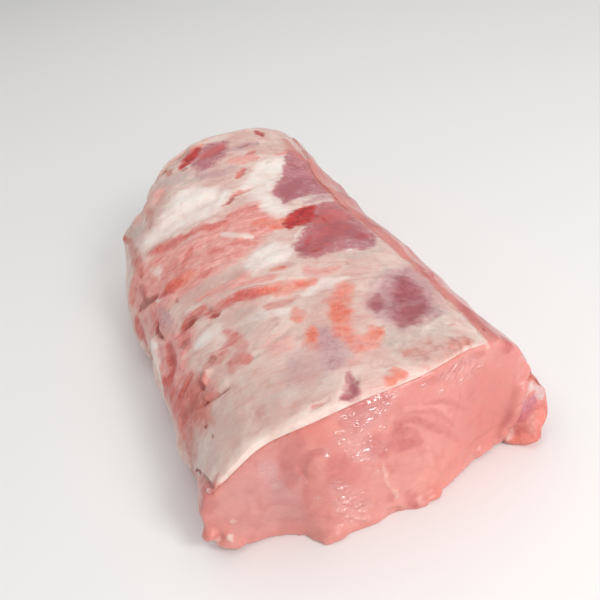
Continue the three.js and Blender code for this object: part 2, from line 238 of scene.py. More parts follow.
FAT_STROKES = [
    # Far end.
    Stroke("red", [(182, 166), (188, 158), (196, 152)], 6.0, 0.8),
    Stroke("blood", [(183, 167), (190, 157), (199, 149)], 5.4, 0.9),
    Stroke("orange", [(190, 152), (197, 148), (204, 144)], 3.0, 0.8),
    Stroke("red", [(179, 160), (184, 156), (190, 151)], 3.4, 0.8),
    Stroke("dark", [(183, 170), (188, 169)], 3.0, 0.6),
    Stroke("core", [(206, 155), (214, 151), (222, 147)], 6.5, 0.75),
    Stroke("red", [(200, 160), (210, 152), (222, 146)], 6.0, 0.5),
    Stroke("blood", [(257, 132), (262, 136)], 4.2, 0.7),
    Stroke("dark", [(255, 132), (264, 137)], 2.2, 0.5),
    Stroke("veil", [(230, 150), (242, 147), (254, 143)], 6.5, 0.7),
    Stroke("dark", [(241, 148), (248, 144)], 2.4, 0.5),
    Stroke("red", [(247, 154), (253, 152)], 3.6, 0.55),
    Stroke("red", [(237, 178), (241, 174), (245, 168)], 3.0, 0.75),
    Stroke("blush", [(228, 162), (240, 160), (256, 158)], 7.0, 0.7),
    Stroke("veil", [(196, 174), (216, 174), (234, 168)], 7.0, 0.55),
    Stroke("grey_and_shade", [(160, 184), (178, 178), (200, 178)], 8.0, 0.7),
    Stroke("blush", [(152, 196), (160, 194), (158, 206)], 6.0, 0.35),
    Stroke("brown_and_shade", [(166, 172), (171, 174)], 3.6, 0.6),
    Stroke("brown_and_shade", [(146, 222), (150, 212), (152, 226)], 4.0, 0.5),
    # Painted shade along the far left edge, which faces away from the lights.
    Stroke("brown_and_shade", [(128, 240), (133, 252), (138, 264), (142, 275)], 5.0, 0.7),
    Stroke("grey_and_shade", [(128, 228), (138, 232), (146, 228)], 6.0, 0.8),
    Stroke("salmon", [(285, 140), (290, 147), (298, 153), (308, 162)], 5.0, 0.75),
    Stroke("blush", [(276, 155), (285, 152), (292, 149)], 2.6, 0.65),
    Stroke("grey_and_shade", [(268, 163), (271, 161)], 1.8, 0.5),
    # Streaks of the upper red band.
    Stroke("red", [(150, 254), (164, 247), (176, 241), (190, 235)], 4.6, 0.75),
    Stroke("red", [(186, 236), (200, 229), (214, 226), (226, 222)], 3.8, 0.7),
    Stroke("dark", [(168, 245), (177, 241)], 3.0, 0.3),
    Stroke("red", [(204, 229), (212, 227)], 3.4, 0.5),
    Stroke("orange", [(168, 288), (180, 282), (194, 272)], 7.0, 0.45),
    Stroke("red", [(224, 206), (230, 202), (232, 196), (240, 193), (250, 189)], 2.6, 0.6),
    Stroke("dark", [(229, 203), (231, 197)], 2.0, 0.6),
    Stroke("red", [(228, 216), (240, 210), (258, 208)], 3.4, 0.45),
    Stroke("dark", [(250, 208), (254, 207)], 2.0, 0.35),
    Stroke("orange", [(256, 222), (268, 224), (276, 226)], 6.0, 0.6),
    Stroke("red", [(183, 264), (188, 256), (191, 248)], 4.0, 0.55),
    Stroke("red", [(208, 256), (214, 250), (222, 252)], 4.4, 0.5),
    Stroke("red", [(198, 278), (205, 274), (210, 270)], 3.4, 0.55),
    Stroke("salmon", [(164, 272), (176, 268), (180, 276)], 7.0, 0.5),
    Stroke("red", [(228, 246), (240, 242), (256, 244)], 3.6, 0.4),
    Stroke("cream_and_highlight", [(224, 233), (236, 236), (250, 236)], 3.6, 0.7),
    Stroke("red", [(246, 231), (262, 230)], 1.6, 0.4),
    Stroke("cream_and_highlight", [(152, 268), (160, 276)], 4.0, 0.4),
    # Left side under the red band.
    Stroke("red", [(160, 298), (166, 294), (174, 287), (182, 281)], 5.0, 0.85),
    Stroke("dark", [(164, 296), (168, 292)], 3.0, 0.5),
    Stroke("red", [(140, 286), (144, 294), (146, 302)], 5.0, 0.6),
    Stroke("dark", [(142, 290), (145, 300)], 2.4, 0.4),
    Stroke("dark", [(138, 310), (144, 304), (150, 302), (156, 298)], 3.4, 0.85),
    Stroke("red", [(136, 318), (140, 330), (146, 342)], 5.0, 0.8),
    Stroke("blush", [(134, 278), (132, 294), (138, 306)], 6.0, 0.7),
    Stroke("red", [(152, 316), (157, 326), (150, 336)], 6.0, 0.5),
    Stroke("dark", [(157, 322), (157, 332), (162, 339)], 2.4, 0.9),
    Stroke("cream_and_highlight", [(156, 300), (164, 299)], 2.6, 0.6),
    Stroke("cream_and_highlight", [(168, 314), (172, 311)], 1.6, 0.8),
    Stroke("dark", [(168, 317), (171, 307)], 1.0, 0.5),
    Stroke("dark", [(177, 298), (179, 302)], 1.4, 0.6),
    Stroke("veil", [(162, 310), (166, 322), (172, 332)], 6.0, 0.5),
    Stroke("red", [(167, 346), (170, 356), (173, 366), (172, 378)], 5.4, 0.95),
    Stroke("dark", [(169, 354), (172, 368)], 2.2, 0.4),
    Stroke("red", [(172, 376), (167, 386), (164, 394)], 5.0, 0.75),
    Stroke("salmon", [(166, 396), (174, 410), (182, 422)], 6.0, 0.7),
    Stroke("red", [(166, 382), (175, 400), (185, 420)], 7.0, 0.75),
    Stroke("cream_and_highlight", [(154, 342), (157, 356), (160, 370), (163, 380)], 4.4, 0.8),
    Stroke("salmon", [(160, 348), (163, 362), (164, 376)], 2.4, 0.5),
    Stroke("dark", [(184, 342), (187, 346)], 4.0, 0.55),
    Stroke("red", [(184, 326), (184, 336), (190, 348)], 5.0, 0.4),
    Stroke("red", [(192, 375), (187, 386), (181, 396), (174, 408)], 3.4, 0.8),
    Stroke("dark", [(191, 378), (186, 388), (179, 399)], 1.3, 0.6),
    Stroke("dark", [(184, 416), (190, 410), (194, 402)], 5.0, 0.45),
    # Painted shade on the lower left flank, which faces away from the lights.
    Stroke("brown_and_shade", [(182, 428), (188, 440), (196, 456)], 9.0, 0.6),
    Stroke("grey_and_shade", [(192, 432), (196, 444), (202, 456)], 9.0, 0.6),
    Stroke("grey_and_shade", [(190, 452), (200, 464), (214, 462)], 9.0, 0.55),
    Stroke("orange", [(180, 424), (184, 436)], 5.0, 0.3),
    # The long red crease and its offshoots.
    Stroke("red", [(176, 338), (184, 328), (193, 319), (206, 310)], 5.0, 0.6),
    Stroke("dark", [(184, 329), (191, 323), (197, 315)], 2.2, 0.9),
    # Painted highlight on the fold above the crease.
    Stroke("cream_and_highlight", [(188, 312), (198, 306), (208, 300)], 3.0, 0.5),
    Stroke("red", [(208, 312), (222, 305), (236, 299), (254, 294)], 3.4, 0.6),
    Stroke("red", [(236, 298), (254, 294), (270, 291)], 5.0, 0.75),
    Stroke("orange", [(264, 292), (284, 288), (300, 285), (314, 282)], 6.0, 0.75),
    Stroke("blush", [(236, 286), (256, 280), (276, 276)], 5.0, 0.6),
    Stroke("salmon", [(268, 306), (282, 303), (292, 300)], 5.0, 0.6),
    Stroke("cream_and_highlight", [(304, 294), (322, 286), (346, 278)], 5.0, 0.7),
    Stroke("dark", [(211, 318), (216, 315)], 2.6, 0.95),
    Stroke("red", [(208, 314), (218, 316)], 4.4, 0.5),
    Stroke("grey_and_shade", [(240, 312), (252, 318), (250, 332)], 8.0, 0.6),
    Stroke("grey_and_shade", [(308, 283), (316, 282)], 2.4, 0.7),
    Stroke("blush", [(200, 300), (220, 290), (240, 280), (252, 270)], 5.0, 0.55),
    Stroke("red", [(222, 352), (230, 342), (236, 333)], 4.4, 0.5),
    Stroke("salmon", [(226, 332), (236, 338), (244, 348)], 5.0, 0.6),
    Stroke("dark", [(210, 361), (216, 358)], 3.6, 0.65),
    Stroke("salmon", [(204, 366), (214, 360), (230, 352)], 5.0, 0.5),
    Stroke("salmon", [(228, 364), (238, 359), (248, 360)], 4.6, 0.75),
    Stroke("salmon", [(232, 372), (228, 366)], 4.0, 0.6),
    # Painted highlights: pale patches where the light catches the left side.
    Stroke("cream_and_highlight", [(198, 346), (206, 336), (218, 328)], 6.0, 0.7),
    Stroke("cream_and_highlight", [(240, 322), (262, 312), (288, 310)], 6.0, 0.35),
    Stroke("cream_and_highlight", [(246, 412), (270, 402), (296, 396)], 11.0, 0.4),
    Stroke("blush", [(272, 342), (286, 348)], 10.0, 0.35),
    Stroke("grey_and_shade", [(248, 362), (262, 350), (276, 340), (290, 328)], 1.8, 0.5),
    # The cut in the left side, with its sore rim, and the tag of flesh over it, with a painted
    # shadow at the tag's left.
    Stroke("dark", [(200, 409), (210, 401), (220, 393), (228, 387)], 1.5, 0.6),
    Stroke("cut", [(201, 408), (210, 401), (222, 391)], 0.8, 0.95),
    Stroke("salmon", [(208, 398), (216, 392)], 2.6, 0.6),
    # Painted shadow at the left of the tag.
    Stroke("dark", [(201, 376), (201, 384), (204, 388)], 2.2, 0.95),
    Stroke("salmon", [(205, 382), (207, 376)], 2.6, 1.0),
    Stroke("dark", [(205, 424), (205, 428)], 1.4, 0.8),
    Stroke("dark", [(211, 436), (212, 437)], 1.5, 0.8),
    # Blotches where meat juice has dried on the fat.
    Stroke("orange", [(338, 306), (342, 320)], 6.0, 1.0),
    Stroke("orange", [(334, 304), (344, 288), (348, 302)], 6.0, 0.6),
    Stroke("orange", [(340, 320), (346, 328)], 6.0, 0.55),
    Stroke("orange", [(312, 326), (313, 342)], 4.4, 0.95),
    Stroke("red", [(312, 330), (312, 338)], 2.6, 0.5),
    Stroke("orange", [(306, 342), (316, 348)], 5.0, 0.35),
    Stroke("orange", [(340, 330), (352, 340)], 5.5, 0.75),
    Stroke("orange", [(372, 326), (378, 344)], 5.0, 0.5),
    Stroke("dark", [(352, 335), (353, 336)], 1.8, 0.4),
    Stroke("orange", [(356, 350), (364, 343), (372, 336)], 5.6, 0.5),
    Stroke("orange", [(374, 333), (380, 329)], 4.4, 0.6),
    Stroke("orange", [(386, 378), (390, 381), (399, 376), (404, 374)], 3.6, 0.85),
    Stroke("orange", [(390, 370), (398, 369)], 3.0, 0.6),
    Stroke("dark", [(387, 378), (388, 378)], 1.1, 0.7),
    Stroke("dark", [(401, 377), (402, 376)], 1.1, 0.6),
    Stroke("orange", [(272, 270), (286, 267)], 3.0, 0.7),
    Stroke("dark", [(277, 269), (284, 267)], 1.4, 0.95),
    Stroke("orange", [(296, 310), (299, 320)], 4.6, 0.5),
    Stroke("orange", [(322, 302), (330, 299), (332, 306)], 3.0, 0.5),
    Stroke("blush", [(306, 268), (318, 274), (336, 268)], 6.0, 0.5),
    Stroke("red", [(346, 262), (350, 266)], 3.0, 0.4),
    Stroke("blush", [(350, 330), (366, 350), (352, 364)], 8.0, 0.35),
    # A smear of blood beside the middle window.
    Stroke("orange", [(274, 228), (283, 224), (288, 220)], 6.0, 0.95),
    Stroke("dark", [(292, 217), (299, 211)], 3.0, 0.5),
    Stroke("core", [(300, 248), (312, 246), (324, 238), (330, 226)], 8.0, 0.8),
    Stroke("core", [(340, 222), (350, 232), (364, 236)], 7.0, 0.6),
    Stroke("core", [(322, 214), (330, 224), (336, 232)], 11.0, 0.5),
    Stroke("red", [(318, 222), (334, 214), (346, 216)], 7.0, 0.35),
    Stroke("blood", [(356, 236), (362, 233), (368, 235)], 3.4, 0.45),
    Stroke("blood", [(312, 214), (322, 218), (328, 224)], 2.2, 0.5),
    Stroke("blood", [(302, 246), (308, 240), (312, 232)], 2.0, 0.45),
    Stroke("blood", [(312, 251), (322, 246)], 1.8, 0.45),
    Stroke("cream_and_highlight", [(296, 240), (300, 232), (306, 226)], 2.6, 0.7),
    Stroke("veil", [(304, 203), (322, 198), (338, 196)], 4.0, 0.8),
    # Windows: their dark middles, and fat bits on them.
    Stroke("core", [(404, 280), (411, 300), (406, 322)], 9.5, 1.0),
    Stroke("core", [(376, 294), (378, 310)], 5.0, 0.85),
    Stroke("core", [(286, 196), (290, 186), (298, 180)], 6.5, 0.55),
    Stroke("core", [(345, 397), (354, 397), (349, 384)], 3.0, 0.5),
    Stroke("core", [(347, 374), (349, 382)], 1.8, 0.5),
    Stroke("grey_and_shade", [(418, 320), (430, 316), (438, 308), (444, 316), (434, 326)], 5.0, 0.8),
    Stroke("cream_and_highlight", [(420, 326), (428, 328), (436, 320), (430, 312)], 1.2, 0.6),
    # Painted shadow below the window on the right.
    Stroke("grey_and_shade", [(384, 330), (404, 336), (430, 336), (446, 330)], 9.0, 0.75),
    Stroke("grey_and_shade", [(340, 254), (352, 256), (372, 252), (384, 248)], 4.0, 0.8),
    Stroke("dark", [(350, 255), (356, 252)], 1.2, 0.35),
    Stroke("grey_and_shade", [(372, 286), (380, 280), (388, 270), (384, 264)], 4.0, 0.6),
    Stroke("cream_and_highlight", [(346, 250), (353, 249)], 2.0, 0.7),
    Stroke("cream_and_highlight", [(391, 314), (396, 319), (402, 324)], 1.2, 0.6),
    Stroke("cream_and_highlight", [(404, 278), (409, 276)], 1.8, 0.5),
    Stroke("grey_and_shade", [(302, 198), (312, 196)], 3.4, 0.8),
    Stroke("salmon", [(312, 166), (318, 176), (328, 188)], 6.0, 0.6),
    Stroke("cream_and_highlight", [(315, 172), (318, 176)], 1.8, 0.5),
    Stroke("cream_and_highlight", [(311, 186), (305, 179)], 1.6, 0.35),
    # Thin fat near the front lets the meat through as lilac.
    Stroke("veil", [(300, 372), (318, 360), (330, 346)], 16.0, 0.55),
    Stroke("veil", [(322, 330), (330, 345), (334, 366)], 8.0, 0.6),
    Stroke("grey_and_shade", [(338, 384), (320, 390), (302, 400)], 8.0, 0.4),
    Stroke("red", [(311, 409), (320, 404), (330, 400)], 1.6, 0.45),
    Stroke("salmon", [(240, 404), (256, 418), (262, 412)], 8.0, 0.25),
    Stroke("brown_and_shade", [(460, 334), (468, 338), (452, 346)], 5.0, 0.3),
    Stroke("grey_and_shade", [(392, 344), (420, 350), (446, 344), (472, 340)], 12.0, 0.9),
    Stroke("brown_and_shade", [(410, 352), (436, 350), (462, 344)], 11.0, 0.4),
    Stroke("grey_and_shade", [(271, 381), (274, 387)], 2.4, 0.5),
    # The pale lip of the fat along the front cut, lighter still with a painted highlight where its
    # rounded rim faces the lights.
    Stroke("lip", [(224, 478), (232, 470), (242, 460), (258, 448), (277, 436)], 7.0, 0.95),
    Stroke("lip", [(277, 436), (297, 424), (317, 415), (344, 407)], 3.6, 0.75),
    Stroke("lip", [(344, 407), (390, 393), (430, 378), (470, 354), (492, 347)], 2.2, 0.5),
    Stroke("lip", [(212, 480), (216, 474)], 2.4, 0.6),
    Stroke("lip", [(-78, 136, 16), (-72, 136, 44), (-50, 136, 65), (-20, 136, 72), (15, 136, 71),
                   (46, 136, 58)], 3.6, 0.8),
    # The left front corner, with a painted shadow line where the fat overhangs the lean.
    Stroke("salmon", [(220, 476), (219, 484), (216, 492), (213, 493)], 4.0, 1.0),
    Stroke("dark", [(196, 470), (203, 478), (213, 488)], 2.0, 0.9),
    # Thin edge of the fat along the right side.
    Stroke("salmon", [(424, 277), (410, 262), (398, 250), (386, 240)], 4.0, 0.6),
    Stroke("salmon", [(386, 238), (366, 220), (350, 205), (334, 188), (316, 168)], 5.0, 0.8),
    Stroke("lip", [(490, 345), (478, 335), (462, 318), (446, 300)], 1.6, 0.4),
]

FAT_FORMS = [
    # Windows are sunk, and the fat stands up round them.
    Form([(290, 190), (300, 178), (318, 184)], 13.0, -0.8),
    Form([(312, 246), (330, 236), (348, 232), (366, 238)], 12.0, -0.8),
    Form([(392, 296), (408, 296), (418, 302)], 14.0, -0.9),
    Form([(348, 394), (352, 378)], 4.2, -1.2),
    Form([(186, 162), (204, 156), (222, 149)], 7.0, -0.7),
    # The long crease, with the fold that leans over it.
    Form([(178, 334), (184, 328), (191, 322), (198, 315), (207, 310)], 3.2, -1.5),
    Form([(208, 310), (225, 304), (236, 299), (254, 294), (276, 290)], 3.0, -0.8),
    Form([(186, 316), (204, 304), (228, 295), (254, 288)], 5.0, 0.9),
    Form([(211, 318), (217, 315)], 2.2, -1.2),
    Form([(138, 310), (146, 303), (156, 298)], 3.2, -1.3),
    Form([(146, 316), (156, 306), (170, 302)], 6.0, 0.9),
    Form([(157, 322), (158, 332), (163, 340)], 2.4, -1.5),
    Form([(167, 348), (171, 358), (173, 368), (171, 378)], 4.6, -1.3),
    Form([(154, 342), (157, 356), (161, 370), (165, 380)], 4.0, 1.5),
    Form([(177, 340), (182, 352), (181, 366)], 5.0, 0.8),
    Form([(190, 377), (186, 387), (180, 397)], 2.4, -0.9),
    # The cut, the tag of flesh over it and the pits beside it.
    Form([(201, 409), (210, 401), (220, 393), (228, 387)], 1.6, -1.0),
    Form([(206, 398), (214, 392), (224, 385)], 3.0, 0.7),
    Form([(205, 383), (208, 374)], 2.8, 2.0),
    Form([(201, 376), (201, 384), (204, 388)], 1.8, -1.2),
    Form([(211, 436), (212, 437)], 1.6, -0.7),
    Form([(205, 425), (205, 427)], 1.6, -0.6),
    # Cream patches and ridges.
    Form([(160, 222), (180, 206), (200, 196)], 9.0, 1.2),
    Form([(156, 248), (186, 231), (214, 219)], 4.0, 0.7),
    Form([(150, 258), (172, 247), (200, 235), (224, 227)], 3.4, -0.8),
    Form([(228, 203), (232, 196), (241, 193), (251, 188)], 2.4, -1.0),
    Form([(226, 234), (240, 238)], 4.0, 0.6),
    Form([(232, 284), (256, 268), (280, 254)], 6.0, 0.6),
    Form([(237, 177), (244, 169)], 2.4, -0.8),
    Form([(178, 186), (196, 176), (212, 172)], 3.6, -0.6),
    Form([(214, 200), (219, 188), (228, 182)], 3.0, -0.5),
    Form([(166, 272), (184, 258), (206, 248)], 4.0, -0.5),
    Form([(168, 286), (190, 272), (214, 262)], 4.4, 0.6),
    # Small creases near the front.
    Form([(311, 409), (319, 404), (328, 400)], 2.0, -0.6),
    Form([(248, 362), (262, 350), (276, 340), (290, 328)], 2.6, -0.4),
    Form([(418, 320), (430, 316), (438, 308)], 1.8, 0.5),
    Form([(420, 328), (432, 325), (444, 314)], 1.8, 0.5),
    Form([(424, 322), (436, 316)], 1.6, -0.5),
    Form([(372, 288), (380, 281), (388, 270)], 2.0, 0.4),
    # The right edge thins out onto the lean.
    Form([(495, 348), (474, 322), (452, 300), (434, 276)], 4.5, -0.7),
    Form([(434, 276), (404, 246), (386, 232), (362, 212), (346, 199)], 5.0, -0.8),
    Form([(346, 199), (330, 181), (314, 163), (300, 150)], 5.0, -0.8),
    # Lobes and waists of the left outline.
    Form([(156, 196), (150, 206)], 9.0, 2.6),
    Form([(138, 222), (129, 236)], 9.0, 2.8),
    Form([(128, 300), (134, 326), (142, 346)], 9.0, 0.3),
    Form([(178, 154), (158, 172)], 10.0, -3.6),
    Form([(144, 204), (142, 210)], 6.0, -1.0),
    Form([(181, 446), (184, 456)], 6.0, 1.6),
    Form([(192, 467), (193, 473)], 5.0, -2.2),
    Form([(150, 356), (152, 362)], 9.0, -1.6),
    Form([(147, 190), (149, 196)], 5.0, 1.2),
    # The left front corner is cut in and comes to a point.
    Form([(197, 472), (206, 481), (213, 489)], 2.2, -1.6),
    Form([(216, 490), (220, 480)], 3.0, 0.6),
]

LEAN_LAYERS = (
    Layer("lilac", "#d79a95", "#cb8883", "clouds", "patches", 0.5),
    Layer("salmon", "#e29184", "#dc8278", "clouds", "patches", 0.5),
    Layer("pale", "#e9a397", "#e3978c", "patches", "blots", 0.5),
    # Deep is deeper red meat, and also serves as painted shade.
    Layer("deep", "#cb6f6e", "#bb605e", "patches", "blots", 0.5),
    Layer("seam", "#e9bfb6", "#e2ada3", "blots", "patches", 0.45),
    Layer("skin", "#dca9a4", "#cd9491", "lines", "blots", 0.45, 0.8),
    # Fat also paints a pale highlight fleck on the cut.
    Layer("fat", "#ecd2c5", "#e0bfb3", "patches", "blots", 0.4),
)

LEAN_STROKES = [
    # The round muscle in the cut, and the seams round it.
    Stroke("deep", [(321, 450), (309, 454), (303, 462), (302, 471), (305, 479)], 2.6, 0.6),
    Stroke("deep", [(306, 484), (308, 496), (307, 506)], 3.0, 0.35),
    Stroke("pale", [(316, 462), (322, 472)], 8.0, 0.35),
    Stroke("deep", [(298, 436), (291, 452), (288, 470), (290, 484)], 6.0, 0.45),
    Stroke("salmon", [(300, 430), (316, 434), (332, 430)], 9.0, 0.7),
    Stroke("lilac", [(262, 470), (268, 486)], 16.0, 0.7),
    Stroke("lilac", [(230, 496), (254, 512), (286, 505)], 18.0, 0.7),
    Stroke("deep", [(205, 496), (208, 510)], 6.0, 0.45),
    Stroke("salmon", [(210, 524), (222, 530)], 8.0, 0.6),
    Stroke("deep", [(334, 460), (346, 474), (340, 484)], 9.0, 0.4),
    # The swirl to the right of the middle.
    Stroke("deep", [(396, 424), (397, 436), (404, 443), (418, 442)], 5.0, 0.7),
    Stroke("deep", [(388, 444), (400, 446), (412, 442)], 3.0, 0.6),
    Stroke("deep", [(369, 440), (378, 446), (386, 452)], 6.0, 0.7),
    Stroke("deep", [(396, 430), (402, 421), (414, 419), (428, 425), (440, 432)], 2.2, 0.5),
    Stroke("deep", [(408, 413), (426, 410), (442, 415), (454, 424)], 1.8, 0.5),
    Stroke("deep", [(424, 403), (444, 401), (466, 409)], 1.8, 0.45),
    Stroke("deep", [(432, 424), (448, 430), (456, 442)], 2.8, 0.4),
    Stroke("deep", [(404, 428), (414, 430), (420, 438)], 1.8, 0.5),
    Stroke("pale", [(404, 410), (418, 406), (434, 408), (452, 415)], 2.6, 0.4),
    Stroke("pale", [(405, 437), (411, 436)], 1.6, 0.7),
    Stroke("pale", [(427, 446), (429, 458), (430, 464)], 2.0, 0.7),
    Stroke("seam", [(381, 462), (384, 474), (388, 485), (394, 490)], 1.3, 0.5),
    Stroke("seam", [(392, 488), (396, 492), (399, 497)], 1.9, 0.75),
    Stroke("deep", [(390, 494), (392, 500)], 3.6, 0.4),
    Stroke("deep", [(408, 492), (412, 500), (416, 504)], 3.4, 0.45),
    Stroke("deep", [(414, 503), (416, 504)], 1.4, 0.7),
    Stroke("salmon", [(480, 380), (494, 410), (484, 440)], 17.0, 0.7),
    Stroke("salmon", [(462, 452), (440, 476), (428, 488)], 13.0, 0.8),
    Stroke("pale", [(430, 478), (408, 490), (376, 506), (350, 520)], 9.0, 0.5),
    Stroke("deep", [(508, 414), (514, 420)], 6.0, 0.45),
    # Painted shade that dulls the right of the cut, where the lamps light it most.
    Stroke("deep", [(474, 378), (484, 410), (470, 440)], 20.0, 0.3),
    # Seams and deeper rings of the back cut.
    Stroke("deep", [(-34, 139, 30), (-30, 139, 46), (-12, 139, 54), (8, 139, 50)], 4.0, 0.6),
    Stroke("deep", [(4, 139, 26), (16, 139, 32), (22, 139, 44)], 4.0, 0.5),
    Stroke("deep", [(30, 139, 20), (44, 139, 34), (46, 139, 48)], 7.0, 0.5),
    Stroke("lilac", [(-60, 139, 20), (-56, 139, 36), (-44, 139, 50)], 10.0, 0.6),
    Stroke("salmon", [(-30, 139, 12), (0, 139, 10), (30, 139, 12)], 9.0, 0.6),
    Stroke("pale", [(-20, 139, 34), (-10, 139, 42), (2, 139, 38)], 6.0, 0.6),
    Stroke("seam", [(-40, 139, 18), (-28, 139, 24), (-12, 139, 22), (2, 139, 14)], 1.5, 0.7),
    Stroke("seam", [(34, 139, 50), (30, 139, 38), (36, 139, 26)], 1.2, 0.5),
    Stroke("wet", [(-20, 139, 58), (0, 139, 60), (20, 139, 56)], 6.0, 1.0),
    Stroke("wet", [(-46, 139, 28), (-38, 139, 38)], 6.0, 0.9),
    Stroke("wet", [(8, 139, 18), (22, 139, 22)], 5.0, 0.9),
    # A darker, moist edge under the fat, partly painted shade where the fat's lip overhangs it.
    Stroke("deep", [(346, 418), (364, 414), (384, 404)], 9.0, 0.45),
    Stroke("deep", [(342, 411), (366, 403), (392, 397)], 3.0, 0.4),
    Stroke("deep", [(424, 384), (444, 374), (462, 362), (482, 352)], 3.6, 0.5),
    # Fat left at the lower left corner.
    Stroke("fat", [(229, 534), (232, 538)], 1.8, 0.85),
    Stroke("fat", [(211, 538), (216, 541)], 2.6, 0.45),
    # A pale fleck on a small bump: a painted highlight of the wet cut.
    Stroke("fat", [(230, 521), (235, 520)], 1.6, 0.6),
    Stroke("salmon", [(214, 494), (219, 486), (222, 478)], 3.6, 1.0),
    # Painted shadow where the fat's corner meets the lean.
    Stroke("deep", [(206, 484), (212, 491)], 2.6, 0.7),
    # Fat that thins out over the bare strip, and its whitish skin.
    Stroke("deep", [(400, 242), (424, 266), (446, 288), (470, 312), (506, 344)], 9.0, 1.0),
    Stroke("deep", [(318, 164), (340, 186), (372, 222), (402, 244)], 9.0, 0.7),
    Stroke("lilac", [(300, 150), (318, 166), (340, 190), (366, 216)], 9.0, 0.8),
    Stroke("seam", [(61, -19, 54), (61, -36, 54), (60, -61, 56), (60, -81, 56)], 1.2, 0.7),
    Stroke("fat", [(446, 304), (458, 317), (469, 329), (480, 340), (487, 346)], 2.4, 0.8),
    # Wet parts of the cut, where it glitters.
    Stroke("wet", [(346, 411), (348, 417)], 5.0, 1.0),
    Stroke("wet", [(356, 421), (364, 424), (370, 412), (380, 406), (393, 396)], 7.0, 1.0),
    Stroke("wet", [(378, 418), (382, 424), (382, 430)], 3.6, 0.8),
    Stroke("wet", [(334, 434), (346, 439), (356, 439), (366, 438)], 6.0, 1.0),
    Stroke("wet", [(356, 446), (363, 454), (372, 458)], 6.5, 1.0),
    Stroke("wet", [(380, 442), (386, 448)], 4.0, 0.6),
    Stroke("wet", [(374, 469), (378, 471)], 2.2, 1.0),
    Stroke("wet", [(324, 450), (328, 454)], 2.4, 1.0),
    Stroke("wet", [(336, 485), (344, 494), (356, 504), (366, 506)], 7.5, 1.0),
    Stroke("wet", [(336, 502), (342, 512), (352, 517), (362, 518)], 5.0, 0.9),
    Stroke("wet", [(316, 496), (320, 499)], 2.6, 0.9),
    Stroke("wet", [(301, 476), (305, 480)], 2.2, 0.9),
    Stroke("wet", [(262, 464), (274, 472)], 5.0, 1.0),
    Stroke("wet", [(273, 478), (276, 488)], 4.4, 1.0),
    Stroke("wet", [(422, 386), (426, 386)], 2.4, 1.0),
    Stroke("wet", [(438, 390), (444, 392)], 2.4, 0.9),
    Stroke("wet", [(440, 376), (450, 373), (457, 368), (466, 360), (474, 358)], 4.6, 1.0),
    Stroke("wet", [(456, 383), (462, 379), (472, 370), (480, 363)], 4.0, 0.8),
]

LEAN_FORMS = [
    Form([(320, 451), (309, 455), (303, 462), (302, 470), (305, 479)], 2.4, -0.5),
    Form([(316, 462), (322, 472)], 8.0, 0.6),
    Form([(396, 428), (399, 438), (408, 441)], 3.0, -0.4),
    Form([(404, 412), (420, 409), (438, 413)], 2.6, 0.25),
    Form([(429, 448), (430, 460)], 1.6, 0.3),
    Form([(384, 474), (390, 487), (398, 495)], 1.6, 0.4),
    # Ripples that the knife left.
    Form([(334, 485), (339, 488)], 1.4, 0.5),
    Form([(341, 488), (346, 494)], 1.2, 0.5),
    Form([(350, 497), (360, 500)], 1.2, 0.5),
    Form([(340, 498), (348, 502), (357, 505)], 1.2, 0.5),
    Form([(336, 503), (343, 508)], 1.2, 0.45),
    Form([(337, 510), (344, 513)], 1.2, 0.45),
    Form([(350, 516), (358, 518), (366, 518)], 1.3, 0.5),
    # Waists and lobes of the right edge and the foot.
    Form([(527, 358), (531, 366), (533, 374)], 8.0, -1.8),
    Form([(531, 378), (524, 394), (516, 412), (506, 432)], 5.0, 1.3),
    Form([(416, 506), (424, 504), (434, 497)], 6.0, 2.4),
    Form([(330, 541), (350, 532), (372, 522)], 6.0, 1.2),
    Form([(206, 532), (210, 537)], 4.0, 1.0),
    Form([(322, 538), (338, 534)], 6.0, 1.6),
    Form([(480, 450), (486, 444)], 5.0, 1.8),
    Form([(209, 540), (214, 541)], 4.0, 2.2),
    Form([(219, 540), (220, 538)], 2.6, -1.8),
    Form([(228, 544), (238, 544)], 5.0, 1.8),
    Form([(391, 513), (396, 512)], 4.0, -1.6),
    # Bits at the lower left corner.
    Form([(229, 534), (232, 537)], 2.6, 1.0),
    Form([(206, 486), (209, 488)], 2.2, 1.0),
    Form([(301, 476), (305, 480)], 1.4, 0.6),
    Form([(230, 521), (235, 520)], 1.4, 0.4),
]

# Forms that move every piece alike, towards or away from the core.
SHARED_FORMS = [
    Form([(-78, 34, 32), (-77, 18, 30)], 17.0, -3.4),
    Form([(69, -38, 46), (69, -54, 46)], 17.0, -3.0),
    Form([(69, -70, 46), (70, -88, 46)], 16.0, -3.2),
    Form([(68, -104, 50), (67, -108, 50)], 12.0, -0.7),
    Form([(64, 30, 44), (66, 0, 44), (68, -24, 45)], 16.0, -1.0),
    Form([(57, 92, 50), (57, 60, 50)], 17.0, -2.8),
]

SIDE_LAYERS = (
    Layer("lean", "#dd8d83", "#d8847b", "blots", "bundles"),
    Layer("skin", "#dcaeaa", "#ca9592", "bundles", "blots", 0.45),
    Layer("deep", "#c96d78", "#b95b67", "blots", "bundles", 0.45),
    Layer("lilac", "#d39097", "#c57c87", "blots", "bundles", 0.45),
    Layer("orange", "#f0968a", "#e87f6e", "blots", "bundles", 0.45),
    # Seam also lightens the flap's shaded foot as painted light.
    Layer("seam", "#ecc3b9", "#e0afa5", "blots", "bundles", 0.4),
    Layer("fat", "#dfc5c2", "#d2aca9", "blots", "bundles", 0.4),
)

